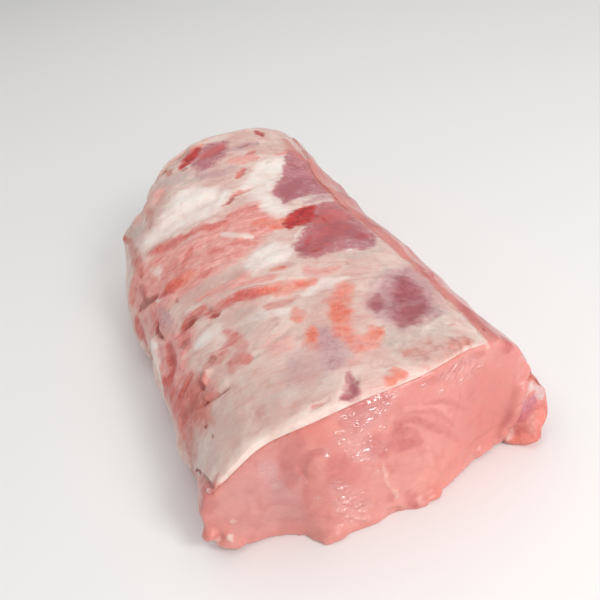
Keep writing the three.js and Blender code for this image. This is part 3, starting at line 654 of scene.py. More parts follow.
SIDE_STROKES = [
    # The flap's left part is one with the cut. A pale seam parts it from the rest.
    Stroke("lean", [(532, 378), (525, 390), (518, 406), (512, 420), (505, 434)], 6.5, 1.0),
    Stroke("seam", [(530, 391), (526, 399), (522, 406)], 2.0, 0.7),
    Stroke("fat", [(528, 388), (534, 385), (539, 389), (541, 398)], 2.8, 0.95),
    Stroke("deep", [(535, 398), (530, 408), (523, 417), (518, 426)], 3.8, 0.95),
    Stroke("lilac", [(534, 395), (528, 405), (523, 413)], 3.2, 0.85),
    Stroke("orange", [(541, 408), (541, 420), (537, 430)], 3.6, 0.5),
    Stroke("orange", [(534, 438), (524, 440), (518, 436)], 3.6, 1.0),
    # A real pale seam, widened as painted light that lifts the foot, which faces down into shade.
    Stroke("seam", [(508, 438), (513, 432), (520, 428)], 3.2, 0.9),
    Stroke("seam", [(534, 414), (530, 424), (530, 434)], 1.2, 0.4),
    # Whitish skin and scraps of fat along the side.
    Stroke("skin", [(83, -100, 18), (82, -20, 18), (80, 60, 18), (74, 120, 18)], 14.0, 0.8),
    Stroke("fat", [(70, -90, 30), (70, -60, 30)], 3.0, 0.6),
    Stroke("fat", [(72, 10, 30), (70, 48, 30)], 3.4, 0.7),
    Stroke("fat", [(80, 60, 12), (78, 90, 10)], 3.2, 0.6),
]

SIDE_FORMS = [
    # The top of the flap dips and its foot hangs out, and its left part meets the cut.
    Form([(536, 366), (540, 376)], 6.0, -2.0),
    Form([(516, 439), (532, 438)], 7.0, 3.2),
    Form([(530, 380), (523, 394), (516, 412), (508, 430)], 5.0, 0.8),
]


def smooth_fade(nearness):
    """Turns nearness from 0 to 1 into a soft bump."""
    nearness = np.clip(nearness, 0, 1)
    return nearness * nearness * (3 - 2 * nearness)


def ramp(values, start, run):
    """Rises softly from 0 at start to 1 at start + run."""
    return smooth_fade((values - start) / run)


def facing(share):
    """1 where a normal points along a direction, given its share along it, and 0 beside it."""
    return smooth_fade(share * 2 - 0.4)


# ---------------------------------------------------------------------------------------------
# From the photograph to the surface.

def camera_turn():
    """The camera's turn, as its right, up and backward directions."""
    heading = Matrix.Rotation(math.radians(-CAMERA_HEADING), 3, "Z")
    pitch = Matrix.Rotation(math.radians(90 - CAMERA_PITCH), 3, "X")
    roll = Matrix.Rotation(math.radians(CAMERA_ROLL), 3, "Z")
    return heading @ pitch @ roll


def surface_places(tree, path, lens):
    """The path's places in mm, where they land on the surface, with steps between them. A pixel
    beside the surface lands on the point nearest to its line of sight."""
    eye = Vector(CAMERA_PLACE)
    turn = camera_turn()
    focal_pixels = PHOTO_SIZE * lens / SENSOR_WIDTH

    def land(place):
        if len(place) == 3:
            return tree.find_nearest(Vector(place))[0]
        aim = Vector((place[0] - PHOTO_SIZE / 2, PHOTO_SIZE / 2 - place[1], -focal_pixels))
        aim = (turn @ aim).normalized()
        hit = tree.ray_cast(eye, aim)[0]
        if hit:
            return hit
        beside = [tree.find_nearest(eye + aim * depth) for depth in SIGHT_DEPTHS]
        return min(beside, key=lambda found: found[3])[0]

    places = [land(path[0])]
    for start, end in zip(path[:-1], path[1:]):
        steps = max(1, int(math.dist(start, end) / PATH_STEP))
        for step in range(1, steps + 1):
            share = step / steps
            places.append(land([a + (b - a) * share for a, b in zip(start, end)]))
    return np.array([list(place) for place in places])


def stroke_cover(points, path, half_width, taper=0.0):
    """How much of each point a stroke along the path covers, from 0 to 1. A tapered one is
    narrower by that share at its ends."""
    cover = np.zeros(len(points))
    reach = ((points > path.min(0) - half_width) & (points < path.max(0) + half_width)).all(1)
    near = points[reach]
    best = 1 - np.linalg.norm(near - path[0], axis=1) / (half_width * (1 - taper))
    steps = max(len(path) - 1, 1)
    for step, (start, end) in enumerate(zip(path[:-1], path[1:])):
        run = end - start
        along = np.clip((near - start) @ run / max(run @ run, TINY), 0, 1)
        gap = np.linalg.norm(near - start - along[:, None] * run, axis=1)
        width = half_width * (1 - taper * np.abs(2 * (step + along) / steps - 1) ** 2)
        best = np.maximum(best, 1 - gap / width)
    cover[reach] = smooth_fade(STROKE_GAIN * best)
    return cover


def area_cover(points, outline, soft):
    """How much of each point lies in an outline seen from above, from 0 to 1."""
    inside = np.zeros(len(points), bool)
    gap = np.full(len(points), np.inf)
    plan = points[:, :2]
    for start, end in zip(outline[:, :2], np.roll(outline[:, :2], -1, axis=0)):
        run = end - start
        along = np.clip((plan - start) @ run / max(run @ run, TINY), 0, 1)
        gap = np.minimum(gap, np.linalg.norm(plan - start - along[:, None] * run, axis=1))
        spans = (start[1] > plan[:, 1]) != (end[1] > plan[:, 1])
        rise = run[1] if abs(run[1]) > TINY else TINY
        crossing = start[0] + run[0] * (plan[:, 1] - start[1]) / rise
        inside ^= spans & (plan[:, 0] < crossing)
    cover = smooth_fade(0.5 + np.where(inside, gap, -gap) / (2 * soft))
    return cover * (points[:, 2] > outline[:, 2].min() - AREA_DEPTH)


# ---------------------------------------------------------------------------------------------
# Noise, and a mesh's points.

def seed_shift(seed):
    """Where in the noise a seed starts."""
    return Vector((seed * 7.3, seed * 3.1, seed * 5.7))


def shifts_at(points, size, seed):
    """Smooth noise from about -1 to 1 whose lumps are size mm across, an x, y, z row a point."""
    noise.seed_set(VECTOR_NOISE_SEED)
    start = seed_shift(seed)
    return np.array([noise.turbulence_vector(Vector(p) / size + start, 1, False) for p in points])


def lumps_at(points, size, seed):
    """Smooth noise from about -1 to 1 whose lumps are size mm across, one value a point."""
    start = seed_shift(seed)
    scale = np.broadcast_to(np.asarray(size, float), (3,))
    return np.array([noise.noise(Vector(p) + start) for p in points / scale])


def points_of(mesh):
    """The mesh's points in mm."""
    flat = np.empty(len(mesh.vertices) * 3)
    mesh.vertices.foreach_get("co", flat)
    return flat.reshape(-1, 3) / MM


def normals_of(mesh):
    """The mesh's point normals."""
    flat = np.empty(len(mesh.vertices) * 3)
    mesh.vertex_normals.foreach_get("vector", flat)
    return flat.reshape(-1, 3)


def place_points(mesh, points):
    """Puts the mesh's points at these places in mm."""
    mesh.vertices.foreach_set("co", (points * MM).ravel())
    mesh.update()


def core_direction(points):
    """Direction from the loin's middle line to each point, without its part along the loin."""
    outward = points * (1, 0, 1) - (0, 0, CORE_HEIGHT)
    return outward / np.maximum(np.linalg.norm(outward, axis=1), TINY)[:, None]


def facing_out(points, normals):
    """1 where the surface faces away from the loin's middle line, and 0 where it faces in."""
    return smooth_fade((normals * core_direction(points)).sum(1) * 1.6)


def surface_tree(mesh):
    """A search tree of the mesh, in mm."""
    points = [tuple(p) for p in points_of(mesh)]
    faces = [tuple(face.vertices) for face in mesh.polygons]
    return BVHTree.FromPolygons(points, faces)


def nearness_to(node, mesh, reach):
    """1 where the mesh touches a CAD solid, and 0 farther than reach mm from it."""
    tree = surface_tree(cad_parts[node].data)
    gaps = np.array([tree.find_nearest(Vector(p))[3] for p in points_of(mesh)])
    return smooth_fade(1 - gaps / reach)


# ---------------------------------------------------------------------------------------------
# Pieces.

def welded_copy(node):
    """A bmesh of a CAD solid with its loose triangles welded and joined into quads."""
    shape = bmesh.new()
    shape.from_mesh(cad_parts[node].data)
    bmesh.ops.remove_doubles(shape, verts=shape.verts, dist=WELD_DISTANCE)
    bmesh.ops.join_triangles(
        shape, faces=shape.faces, angle_face_threshold=math.radians(40),
        angle_shape_threshold=math.radians(70),
    )
    return shape


def mesh_from(shape, name):
    """A clean mesh made of a bmesh, which is freed."""
    mesh = bpy.data.meshes.new(name)
    shape.to_mesh(mesh)
    shape.free()
    if "custom_normal" in mesh.attributes:
        mesh.attributes.remove(mesh.attributes["custom_normal"])
    mesh.shade_smooth()
    return mesh


def new_piece(name, mesh):
    """An object of the mesh, at the origin."""
    piece = bpy.data.objects.new(name, mesh)
    bpy.context.scene.collection.objects.link(piece)
    return piece


def apply_modifiers(piece):
    """Makes the piece's mesh what its modifiers show, and takes them off."""
    graph = bpy.context.evaluated_depsgraph_get()
    finished = bpy.data.meshes.new_from_object(piece.evaluated_get(graph))
    piece.modifiers.clear()
    piece.data = finished
    return finished


def rounded_piece(name, node, rim_sharpness, levels):
    """A piece made of a CAD solid by subdividing it, which keeps its rims that sharp."""
    shape = welded_copy(node)
    creases = shape.edges.layers.float.new("crease_edge")
    for edge in shape.edges:
        if len(edge.link_faces) == 2 and edge.calc_face_angle() > RIM_TURN:
            edge[creases] = rim_sharpness
    piece = new_piece(name, mesh_from(shape, name))
    rounding = piece.modifiers.new("rounding", "SUBSURF")
    rounding.levels = rounding.render_levels = levels
    return piece, apply_modifiers(piece)


def subdivide_where(mesh, wanted):
    """Cuts the faces that wanted picks into four, and evens out their points."""
    shape = bmesh.new()
    shape.from_mesh(mesh)
    edges = {edge for face in shape.faces if wanted(face) for edge in face.edges}
    bmesh.ops.subdivide_edges(shape, edges=list(edges), cuts=1, use_grid_fill=True)
    points = {point for face in shape.faces if wanted(face) for point in face.verts}
    bmesh.ops.smooth_vert(
        shape, verts=list(points), factor=0.5, use_axis_x=True, use_axis_y=True, use_axis_z=True,
    )
    shape.to_mesh(mesh)
    shape.free()
    mesh.shade_smooth()


def shape_sides(mesh):
    """Gives the sides their lobes and waists, and makes the right one wavy where it faces away
    from the photograph. Every piece moves alike, so that they still meet."""
    points = points_of(mesh)
    across, along, up = points.T
    height = np.zeros(len(points))
    for form in SHARED_FORMS:
        height += stroke_cover(points, np.array(form.path, float), form.half_width) * form.height
    hidden = ramp(across, HIDDEN_SIDE_LEFT, 15) * ramp(up, HIDDEN_SIDE_TOP, -14)
    hidden *= ramp(along, FRONT_CUT_START, 22)
    wave_out, length_out = WAVES_OUT
    wave_up, length_up = WAVES_UP
    height += wave_out * lumps_at(points, length_out, seed=14.0) * hidden
    push = core_direction(points) * height[:, None]
    push[:, 2] += wave_up * lumps_at(points, length_up, seed=15.0) * hidden
    push[:, 2] *= ramp(up, 0, 8)
    place_points(mesh, points + push)


def form_heights(mesh, forms, lens):
    """How far each point of the mesh is raised by the forms, in mm."""
    tree = surface_tree(mesh)
    points = points_of(mesh)
    loose = points + shifts_at(points, 6.0, seed=3.0) * FORM_WOBBLE
    height = np.zeros(len(points))
    for form in forms:
        path = surface_places(tree, form.path, lens)
        height += stroke_cover(loose, path, form.half_width) * form.height
    return height


def paint(mesh, strokes, areas, lens, jitter):
    """How much of each finish every point of the mesh has, by finish. The jitter, from 0 to 1,
    says how much the edges of the marks wander."""
    tree = surface_tree(mesh)
    points = points_of(mesh)
    loose = points.copy()
    for size, shift, seed in PAINT_WOBBLES:
        loose += shifts_at(points, size, seed) * shift * jitter
    values = {mark.finish: np.zeros(len(points)) for mark in (*strokes, *areas)}

    def add(mark, cover):
        values[mark.finish] = 1 - (1 - values[mark.finish]) * (1 - cover * mark.strength)

    for stroke in strokes:
        path = surface_places(tree, stroke.path, lens)
        add(stroke, stroke_cover(loose, path, stroke.half_width * PAINT_REACH, PAINT_TAPER))
    for area in areas:
        add(area, area_cover(loose, surface_places(tree, area.outline, lens), area.soft))
    return values


def store(mesh, values):
    """Keeps each set of values on the mesh's points under its name."""
    for name, value in values.items():
        layer = mesh.attributes.new(name, "FLOAT", "POINT")
        layer.data.foreach_set("value", value.astype(np.float32))


def store_uv(mesh, name, along, across):
    """Keeps a place along and across on the mesh as a UV map."""
    layer = mesh.uv_layers.new(name=name)
    corners = np.empty(len(mesh.loops), int)
    mesh.loops.foreach_get("vertex_index", corners)
    pairs = np.stack([along[corners], across[corners]], 1) / UV_UNIT
    layer.data.foreach_set("uv", pairs.astype(np.float32).ravel())


def fibre_map(points):
    """Places along and across the fat's fibres, in mm. They fan out towards the front."""
    girth = FAT_RADIUS * np.arctan2(points[:, 0], np.maximum(points[:, 2] - 4, 1))
    slant = FIBRE_SLANT - FIBRE_SLANT_LOSS * ramp(points[:, 1], -60, 130)
    return girth, points[:, 1] + slant * girth


def fibre_ridges(fibre_places, values):
    """Ridges along the fat's fibres, from about -1 to 1. They are strongest where the fat is
    red, and there are none on its windows."""
    ridges = 0.5 - np.abs(lumps_at(fibre_places, COARSE_FIBRES, seed=4.0)) * 1.6
    ridges += 0.5 * lumps_at(fibre_places, FINE_FIBRES, seed=11.0)
    streaky = 0.35 + 0.65 * np.clip(values["blush"] + values["red"], 0, 1)
    calm = np.clip(1 - values["window"] - 0.6 * values["lip"], 0, 1)
    return ridges * streaky * calm


def flow_across(points, normals):
    """Place across the lean's fibres, in metres. They run lengthwise under the skin, and curl
    round a swirl in each cut."""
    girth = LEAN_RADIUS * np.arctan2(points[:, 0], points[:, 2] - CORE_HEIGHT)
    wander = lumps_at(points, 16.0, seed=12.0) * SWIRL_WANDER
    front_curl, back_curl = (
        np.linalg.norm((points[:, (0, 2)] - swirl) * SWIRL_SQUASH, axis=1) + wander
        for swirl in (FRONT_SWIRL, BACK_SWIRL)
    )
    front, back = facing(-normals[:, 1]), facing(normals[:, 1])
    return (girth * (1 - front - back) + front_curl * front + back_curl * back) * MM


def bare_right_strip(points):
    """1 on the bare strip of lean between the fat and the side muscle, 0 away from it."""
    return ramp(points[:, 0], BARE_STRIP_LEFT, 8) * ramp(points[:, 2], BARE_STRIP_FOOT, 8)


# ---------------------------------------------------------------------------------------------
# Materials.

def linear(hex_colour):
    """A #rrggbb colour as the linear red, green, blue and alpha that the shaders take."""
    channels = [int(hex_colour[i:i + 2], 16) / 255 for i in (1, 3, 5)]
    return tuple(c / 12.92 if c <= 0.04045 else ((c + 0.055) / 1.055) ** 2.4
                 for c in channels) + (1.0,)


def add_node(tree, kind, inputs=None, **settings):
    """Adds a node. An input takes a value, or a socket to link from."""
    node = tree.nodes.new(kind)
    for name, value in settings.items():
        setattr(node, name, value)
    for socket, value in (inputs or {}).items():
        if isinstance(value, bpy.types.NodeSocket):
            tree.links.new(value, node.inputs[socket])
        else:
            node.inputs[socket].default_value = value
    return node


def grain(tree, places, size, detail=3.0, distortion=0.0, unit=1.0):
    """Noise from 0 to 1 whose lumps are size mm across. The places count in units of that many
    metres."""
    stretched = add_node(tree, "ShaderNodeVectorMath",
                         {0: places, 1: [unit / (s * MM) for s in size]}, operation="MULTIPLY")
    return add_node(tree, "ShaderNodeTexNoise",
                    {"Vector": stretched.outputs[0], "Scale": 1.0, "Detail": detail,
                     "Roughness": 0.55, "Distortion": distortion}).outputs["Fac"]


def mix(tree, share, first, second):
    """Two colours, mixed by a share of the second."""
    return add_node(tree, "ShaderNodeMix", {0: share, 6: first, 7: second},
                    data_type="RGBA").outputs[2]


def vary(tree, first, second, breakup, low=0.35, high=0.65):
    """Two colours, mixed by a noise."""
    share = add_node(tree, "ShaderNodeMapRange",
                     {"Value": breakup, "From Min": low, "From Max": high},
                     interpolation_type="SMOOTHSTEP").outputs[0]
    return mix(tree, share, first, second)


def lay_finish(tree, under, layer, noises):
    """Lays a finish over the colour under it, where the surface holds that finish. Where it
    thins out, one noise breaks it up. The other noise mixes its two colours."""
    cover = add_node(tree, "ShaderNodeAttribute", attribute_name=layer.finish).outputs["Fac"]
    threshold = add_node(tree, "ShaderNodeMapRange",
                         {"Value": noises[layer.fraying], "From Min": 0.3, "From Max": 0.7,
                          "To Min": 0.12, "To Max": 0.8}).outputs[0]
    spare = add_node(tree, "ShaderNodeMath", {0: cover, 1: threshold}, operation="SUBTRACT")
    amount = add_node(tree, "ShaderNodeMapRange",
                      {"Value": spare.outputs[0], "From Min": -layer.soft,
                       "From Max": layer.soft, "To Max": layer.most}).outputs[0]
    held = add_node(tree, "ShaderNodeMapRange", {"Value": cover, "From Max": 0.3}).outputs[0]
    amount = add_node(tree, "ShaderNodeMath", {0: amount, 1: held}, operation="MULTIPLY")
    colour = vary(tree, linear(layer.first), linear(layer.second), noises[layer.mottling], 0.3, 0.7)
    return mix(tree, amount.outputs[0], under, colour)


def new_material(name):
    """An empty material with its shader and output. Returns the material, tree and shader."""
    material = bpy.data.materials.new(name)
    material.use_nodes = True
    tree = material.node_tree
    tree.nodes.clear()
    shader = add_node(tree, "ShaderNodeBsdfPrincipled")
    add_node(tree, "ShaderNodeOutputMaterial", {"Surface": shader.outputs[0]})
    return material, tree, shader


def meat_gloss(tree, shader, relief, roughness, wetness, softness, depth):
    """Water-wet tissue: a soft sheen under a thin film of juice, with light bleeding inside, red
    farthest. The relief is the bumped normal that both follow."""
    tree.links.new(relief, shader.inputs["Normal"])
    tree.links.new(relief, shader.inputs["Coat Normal"])
    for name, value in {
        "Roughness": roughness,
        "IOR": 1.42,
        "Coat Weight": wetness,
        "Coat Roughness": 0.07,
        "Coat IOR": 1.33,
        "Subsurface Weight": softness,
        "Subsurface Radius": (1.0, 0.42, 0.3),
        "Subsurface Scale": depth * MM,
    }.items():
        shader.inputs[name].default_value = value


def chilled_pork_fat(settings):
    """Chilled back fat: waxy and cream, streaked pink along its fibres, with thin places where
    the meat under it shows purple, and dried juice on it."""
    material, tree, shader = new_material("chilled_pork_fat")
    places = add_node(tree, "ShaderNodeTexCoord").outputs["Object"]
    fibres = add_node(tree, "ShaderNodeUVMap", uv_map="fibres").outputs[0]
    noises = {
        "streaks": grain(tree, fibres, (20, 4.2, 10), 5.0, 0.8, UV_UNIT * MM),
        "fine_streaks": grain(tree, fibres, (7, 1.3, 10), 4.0, 0.8, UV_UNIT * MM),
        "clouds": grain(tree, places, (24, 24, 24), 6.0, 0.4),
        "patches": grain(tree, places, (8, 8, 8), 5.0, 0.6),
        "blots": grain(tree, places, (3.2, 3.2, 3.2), 4.0, 0.5),
        "specks": grain(tree, places, (1.4, 1.4, 1.4), 2.0),
    }
    colour = vary(tree, linear("#efd5ca"), linear("#e0b6ac"), noises["clouds"], 0.34, 0.66)
    colour = vary(tree, colour, linear("#d3a299"), noises["patches"], 0.42, 0.85)
    colour = vary(tree, colour, linear("#dc968d"), noises["streaks"], 0.5, 0.85)
    colour = vary(tree, colour, linear("#ecd3c8"), noises["blots"], 0.5, 0.9)
    for layer in FAT_LAYERS:
        colour = lay_finish(tree, colour, layer, noises)
    tree.links.new(colour, shader.inputs["Base Color"])

    ridges = add_node(tree, "ShaderNodeBump",
                      {"Height": noises["fine_streaks"], "Strength": 0.15, "Distance": 1.0 * MM})
    pores = add_node(tree, "ShaderNodeBump",
                     {"Height": noises["blots"], "Strength": 0.3, "Distance": 0.9 * MM,
                      "Normal": ridges.outputs[0]})
    meat_gloss(tree, shader, pores.outputs[0], 0.42, settings.fat_wetness, 0.25, 1.6)
    return material


def raw_pork_lean(settings):
    """Raw lean, sliced smooth: pale pink bundles seen end-on in the cuts and lengthwise on the
    sides, moist enough to glitter where the knife left ripples."""
    material, tree, shader = new_material("raw_pork_lean")
    places = add_node(tree, "ShaderNodeTexCoord").outputs["Object"]
    flow = add_node(tree, "ShaderNodeAttribute", attribute_name="flow").outputs["Fac"]
    apart = add_node(tree, "ShaderNodeSeparateXYZ", {0: places})
    lengthwise = add_node(tree, "ShaderNodeMath",
                          {0: apart.outputs["Y"], 1: 0.35, 2: apart.outputs["X"]},
                          operation="MULTIPLY_ADD").outputs[0]
    fibres = add_node(tree, "ShaderNodeCombineXYZ",
                      {"X": flow, "Y": lengthwise, "Z": apart.outputs["Z"]}).outputs[0]
    noises = {
        "lines": grain(tree, fibres, (2.2, 24, 24), 3.0, 0.4),
        "clouds": grain(tree, places, (26, 40, 26), 4.0, 0.3),
        "patches": grain(tree, places, (9, 14, 9), 4.0, 0.6),
        "blots": grain(tree, places, (3, 5, 3), 3.0, 0.6),
    }
    colour = vary(tree, linear("#da8a82"), linear("#dd958c"), noises["clouds"], 0.3, 0.7)
    colour = vary(tree, colour, linear("#d07c75"), noises["patches"], 0.4, 0.9)
    colour = vary(tree, colour, linear("#ca736d"), noises["lines"], 0.55, 0.9)
    colour = vary(tree, colour, linear("#e39d93"), noises["blots"], 0.5, 1.0)
    for layer in LEAN_LAYERS:
        colour = lay_finish(tree, colour, layer, noises)
    tree.links.new(colour, shader.inputs["Base Color"])

    fibre_bump = add_node(tree, "ShaderNodeBump",
                          {"Height": noises["lines"], "Strength": 0.12, "Distance": 0.3 * MM})
    meat_gloss(tree, shader, fibre_bump.outputs[0], 0.4, settings.lean_wetness, 0.3, 2.2)

    # Where the cut is wet, its film of juice is thick and rippled, so that it glitters.
    wet = add_node(tree, "ShaderNodeAttribute", attribute_name="wet").outputs["Fac"]
    ripples = grain(tree, places, (4.4, 5.0, 2.7), 1.0, 0.3)
    film = add_node(tree, "ShaderNodeBump",
                    {"Height": ripples, "Strength": wet, "Distance": 4.0 * MM})
    tree.links.new(film.outputs[0], shader.inputs["Coat Normal"])
    for name, dry, soaked in (("Coat Weight", settings.lean_wetness, 1.0), ("Coat IOR", 1.4, 2.0)):
        amount = add_node(tree, "ShaderNodeMapRange",
                          {"Value": wet, "To Min": dry, "To Max": soaked})
        tree.links.new(amount.outputs[0], shader.inputs[name])
    return material


def red_side_muscle(settings):
    """The side muscle: redder meat under a thin whitish skin, with scraps of fat on it."""
    material, tree, shader = new_material("red_side_muscle")
    places = add_node(tree, "ShaderNodeTexCoord").outputs["Object"]
    noises = {
        "bundles": grain(tree, places, (2.2, 30, 2.2), 3.0, 0.5),
        "blots": grain(tree, places, (5, 9, 5), 3.0),
    }
    colour = vary(tree, linear("#db8a80"), linear("#cf746c"), noises["bundles"])
    for layer in SIDE_LAYERS:
        colour = lay_finish(tree, colour, layer, noises)
    tree.links.new(colour, shader.inputs["Base Color"])
    bump = add_node(tree, "ShaderNodeBump",
                    {"Height": noises["bundles"], "Strength": 0.35, "Distance": 0.7 * MM})
    meat_gloss(tree, shader, bump.outputs[0], 0.4, settings.lean_wetness, 0.3, 2.0)
    return material


def pale_board(settings):
    """Plain matt board under the loin, nearly white."""
    material, tree, shader = new_material("pale_matt_board")
    shader.inputs["Base Color"].default_value = (*settings.floor_colour, 1)
    shader.inputs["Roughness"].default_value = 0.9
    return material


# ---------------------------------------------------------------------------------------------
# What a user would change.

class LoinMeatSettings(bpy.types.PropertyGroup):
    fibre_ridge: bpy.props.FloatProperty(
        name="Fibre ridges", description="Height of the ridges along the fat's fibres",
        default=0.45 * MM, min=0, max=2 * MM, subtype="DISTANCE", unit="LENGTH",
    )
    lump_height: bpy.props.FloatProperty(
        name="Lumps", description="Height of the soft lumps all over the meat",
        default=0.5 * MM, min=0, max=2 * MM, subtype="DISTANCE", unit="LENGTH",
    )
    fat_wetness: bpy.props.FloatProperty(
        name="Wet film on the fat", description="How much juice lies on the fat",
        default=0.2, min=0, max=1, subtype="FACTOR",
    )
    lean_wetness: bpy.props.FloatProperty(
        name="Wet film on the lean", description="How much juice lies on the cut meat",
        default=0.5, min=0, max=1, subtype="FACTOR",
    )


class LoinStageSettings(bpy.types.PropertyGroup):
    floor_colour: bpy.props.FloatVectorProperty(
        name="Floor", description="Colour of the floor, linear",
        default=linear("#f4f3f2")[:3], min=0, max=1, subtype="COLOR",
    )
    lens: bpy.props.FloatProperty(
        name="Lens", description="Focal length of the camera, in millimetres",
        default=48.0, min=10, max=300, subtype="DISTANCE_CAMERA",
    )
    key_power: bpy.props.FloatProperty(
        name="Key light", description="Power of the softbox in front on the right",
        default=4.4, min=0, subtype="POWER", unit="POWER",
    )
    glint_power: bpy.props.FloatProperty(
        name="Glint light", description="Power of the small lamp in front, low over the floor",
        default=1.7, min=0, subtype="POWER", unit="POWER",
    )
    top_power: bpy.props.FloatProperty(
        name="Top light", description="Power of the large soft light overhead",
        default=5.6, min=0, subtype="POWER", unit="POWER",
    )


# ---------------------------------------------------------------------------------------------
# Operators.

class LOIN_OT_fat_cap(bpy.types.Operator):
    """Builds the streaked fat cap over the top and left side"""

    bl_idname = "loin.fat_cap"
    bl_label = "Fat cap"

    def execute(self, context):
        meat = context.scene.loin_meat
        lens = context.scene.loin_stage.lens
        piece, mesh = rounded_piece("fat_cap_skin", "fat_cap", FAT_RIM_SHARPNESS, 2)

        def faces_out(face):
            middle = face.calc_center_median() / MM
            outward = Vector((middle.x, 0, middle.z - CORE_HEIGHT)).normalized()
            return face.normal.dot(outward) > 0.1 or abs(face.normal.y) > 0.6

        subdivide_where(mesh, faces_out)
        shape_sides(mesh)
        points, normals = points_of(mesh), normals_of(mesh)
        values = paint(mesh, FAT_STROKES, FAT_AREAS, lens, 1.0)
        along, across = fibre_map(points)
        fibre_places = np.stack([along, across, points[:, 2]], 1)
        height = form_heights(mesh, FAT_FORMS, lens)
        height += fibre_ridges(fibre_places, values) * meat.fibre_ridge / MM
        height += lumps_at(points, 11.0, seed=5.0) * meat.lump_height / MM
        height *= facing_out(points, normals)
        place_points(mesh, points + normals * height[:, None])
        store(mesh, values)
        store_uv(mesh, "fibres", along, across)
        mesh.materials.append(chilled_pork_fat(meat))
        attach(piece, "root")
        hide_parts("fat_cap")
        return {"FINISHED"}


class LOIN_OT_lean(bpy.types.Operator):
    """Builds the lean eye muscle with its two cuts"""

    bl_idname = "loin.lean"
    bl_label = "Lean"

    def execute(self, context):
        meat = context.scene.loin_meat
        lens = context.scene.loin_stage.lens
        piece = new_piece("lean_meat", mesh_from(welded_copy("lean"), "lean_meat"))
        evening = piece.modifiers.new("evening", "REMESH")
        evening.mode = "VOXEL"
        evening.voxel_size = LEAN_GRID * MM
        mesh = apply_modifiers(piece)

        def in_front_cut(face):
            return face.normal.y < -0.3 and face.calc_center_median().y < FRONT_CUT_START * MM

        subdivide_where(mesh, in_front_cut)
        rim_fill = bare_right_strip(points_of(mesh)) * nearness_to("fat_cap", mesh, RIM_REACH)
        shape_sides(mesh)
        points, normals = points_of(mesh), normals_of(mesh)
        values = paint(mesh, LEAN_STROKES, [], lens, 0.6)
        side = np.clip(1 - np.abs(normals[:, 1]) * 2, 0, 1)
        values["skin"] = side * 0.55 * (points[:, 2] < SKIN_TOP)
        values["flow"] = flow_across(points, normals)
        height = form_heights(mesh, LEAN_FORMS, lens)
        height += lumps_at(points, 13.0, seed=6.0) * meat.lump_height / MM
        height += lumps_at(points, 4.5, seed=7.0) * 0.3 * meat.lump_height / MM
        height += LEAN_SWELL * (points[:, 2] > LEAN_SWELL_FOOT)
        height += STRIP_SWELL * (bare_right_strip(points) + rim_fill)
        push = normals * height[:, None]
        push[:, 2] *= ramp(points[:, 2], 0, 4)
        moved = points + push
        moved[:, 2] = np.maximum(moved[:, 2], 0)
        place_points(mesh, moved)
        store(mesh, values)
        mesh.materials.append(raw_pork_lean(meat))
        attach(piece, "root")
        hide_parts("lean")
        return {"FINISHED"}


class LOIN_OT_side_muscle(bpy.types.Operator):
    """Builds the slim side muscle with its flap"""

    bl_idname = "loin.side_muscle"
    bl_label = "Side muscle"

    def execute(self, context):
        meat = context.scene.loin_meat
        lens = context.scene.loin_stage.lens
        piece, mesh = rounded_piece("side_muscle_meat", "side_muscle", SIDE_RIM_SHARPNESS, 3)
        shape_sides(mesh)
        points, normals = points_of(mesh), normals_of(mesh)
        values = paint(mesh, SIDE_STROKES, [], lens, 0.8)
        height = form_heights(mesh, SIDE_FORMS, lens)
        height += lumps_at(points, 12.0, seed=9.0) * meat.lump_height / MM
        height += lumps_at(points, (4.0, 18.0, 4.0), seed=10.0) * 0.8 * meat.lump_height / MM
        height *= np.maximum(facing_out(points, normals), facing(-normals[:, 1]))
        moved = points + normals * height[:, None]
        for path, reach, push in FLAP_SEAMS:
            moved += stroke_cover(points, np.array(path, float), reach)[:, None] * push
        moved[:, 2] = np.maximum(moved[:, 2], 0)
        place_points(mesh, moved)
        store(mesh, values)
        mesh.materials.append(red_side_muscle(meat))
        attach(piece, "root")
        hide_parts("side_muscle")
        return {"FINISHED"}


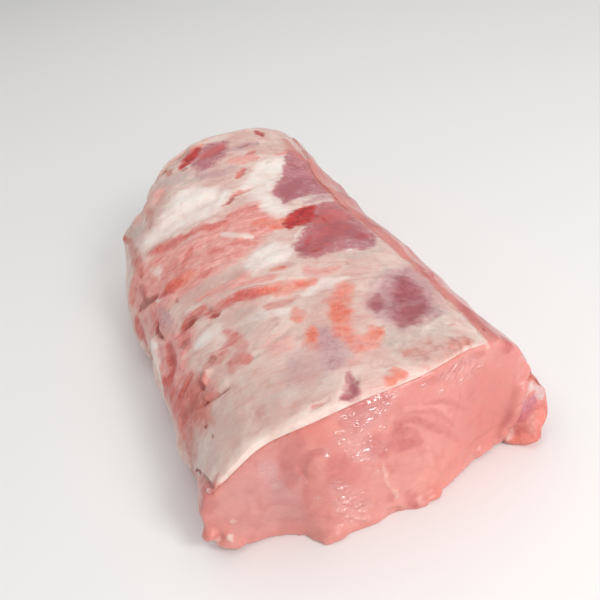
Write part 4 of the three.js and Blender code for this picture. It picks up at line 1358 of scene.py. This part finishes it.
class LOIN_OT_stage(bpy.types.Operator):
    """Sets the floor, the soft lights and the camera"""

    bl_idname = "loin.stage"
    bl_label = "Stage"

    def execute(self, context):
        settings = context.scene.loin_stage
        shape = bmesh.new()
        bmesh.ops.create_grid(shape, x_segments=1, y_segments=1, size=FLOOR_HALF_WIDTH)
        floor = new_piece("floor", mesh_from(shape, "floor"))
        floor.data.materials.append(pale_board(settings))

        for name, place, size, power in (
            ("key_light", KEY_LIGHT_PLACE, 0.32, settings.key_power),
            ("glint_light", GLINT_LIGHT_PLACE, 0.28, settings.glint_power),
            ("top_light", TOP_LIGHT_PLACE, 1.5, settings.top_power),
        ):
            lamp = bpy.data.lights.new(name, "AREA")
            lamp.energy = power
            lamp.size = size
            light = bpy.data.objects.new(name, lamp)
            light.location = Vector(place) * MM
            light.rotation_euler = (-Vector(place)).to_track_quat("-Z", "Y").to_euler()
            context.scene.collection.objects.link(light)

        world = bpy.data.worlds.new("soft_room")
        world.use_nodes = True
        background = world.node_tree.nodes["Background"]
        background.inputs["Color"].default_value = linear(ROOM_COLOUR)
        background.inputs["Strength"].default_value = ROOM_STRENGTH
        context.scene.world = world

        camera = bpy.data.cameras.new("camera")
        camera.lens = settings.lens
        camera.sensor_width = SENSOR_WIDTH
        camera.clip_start = 0.01
        stand = bpy.data.objects.new("camera", camera)
        stand.matrix_world = Matrix.Translation(Vector(CAMERA_PLACE) * MM) @ camera_turn().to_4x4()
        context.scene.collection.objects.link(stand)
        context.scene.camera = stand
        context.scene.view_settings.view_transform = "Standard"
        return {"FINISHED"}


class LOIN_PT_panel(bpy.types.Panel):
    """Lists the loin's pieces and settings"""

    bl_label = "Loin"
    bl_space_type = "VIEW_3D"
    bl_region_type = "UI"
    bl_category = "Loin"

    def draw(self, context):
        for group in (context.scene.loin_meat, context.scene.loin_stage):
            for name in group.bl_rna.properties.keys():
                if name not in ("rna_type", "name"):
                    self.layout.prop(group, name)
        for operator in PIECE_OPERATORS:
            self.layout.operator(operator.bl_idname)


PIECE_OPERATORS = (LOIN_OT_stage, LOIN_OT_lean, LOIN_OT_fat_cap, LOIN_OT_side_muscle)
CLASSES = (LoinMeatSettings, LoinStageSettings, *PIECE_OPERATORS, LOIN_PT_panel)


def register():
    for cls in CLASSES:
        bpy.utils.register_class(cls)
    bpy.types.Scene.loin_meat = bpy.props.PointerProperty(type=LoinMeatSettings)
    bpy.types.Scene.loin_stage = bpy.props.PointerProperty(type=LoinStageSettings)


def unregister():
    del bpy.types.Scene.loin_stage
    del bpy.types.Scene.loin_meat
    for cls in reversed(CLASSES):
        bpy.utils.unregister_class(cls)


def main():
    register()
    bpy.ops.loin.stage()
    bpy.ops.loin.lean()
    bpy.ops.loin.fat_cap()
    bpy.ops.loin.side_muscle()


if __name__ == "__main__":
    main()
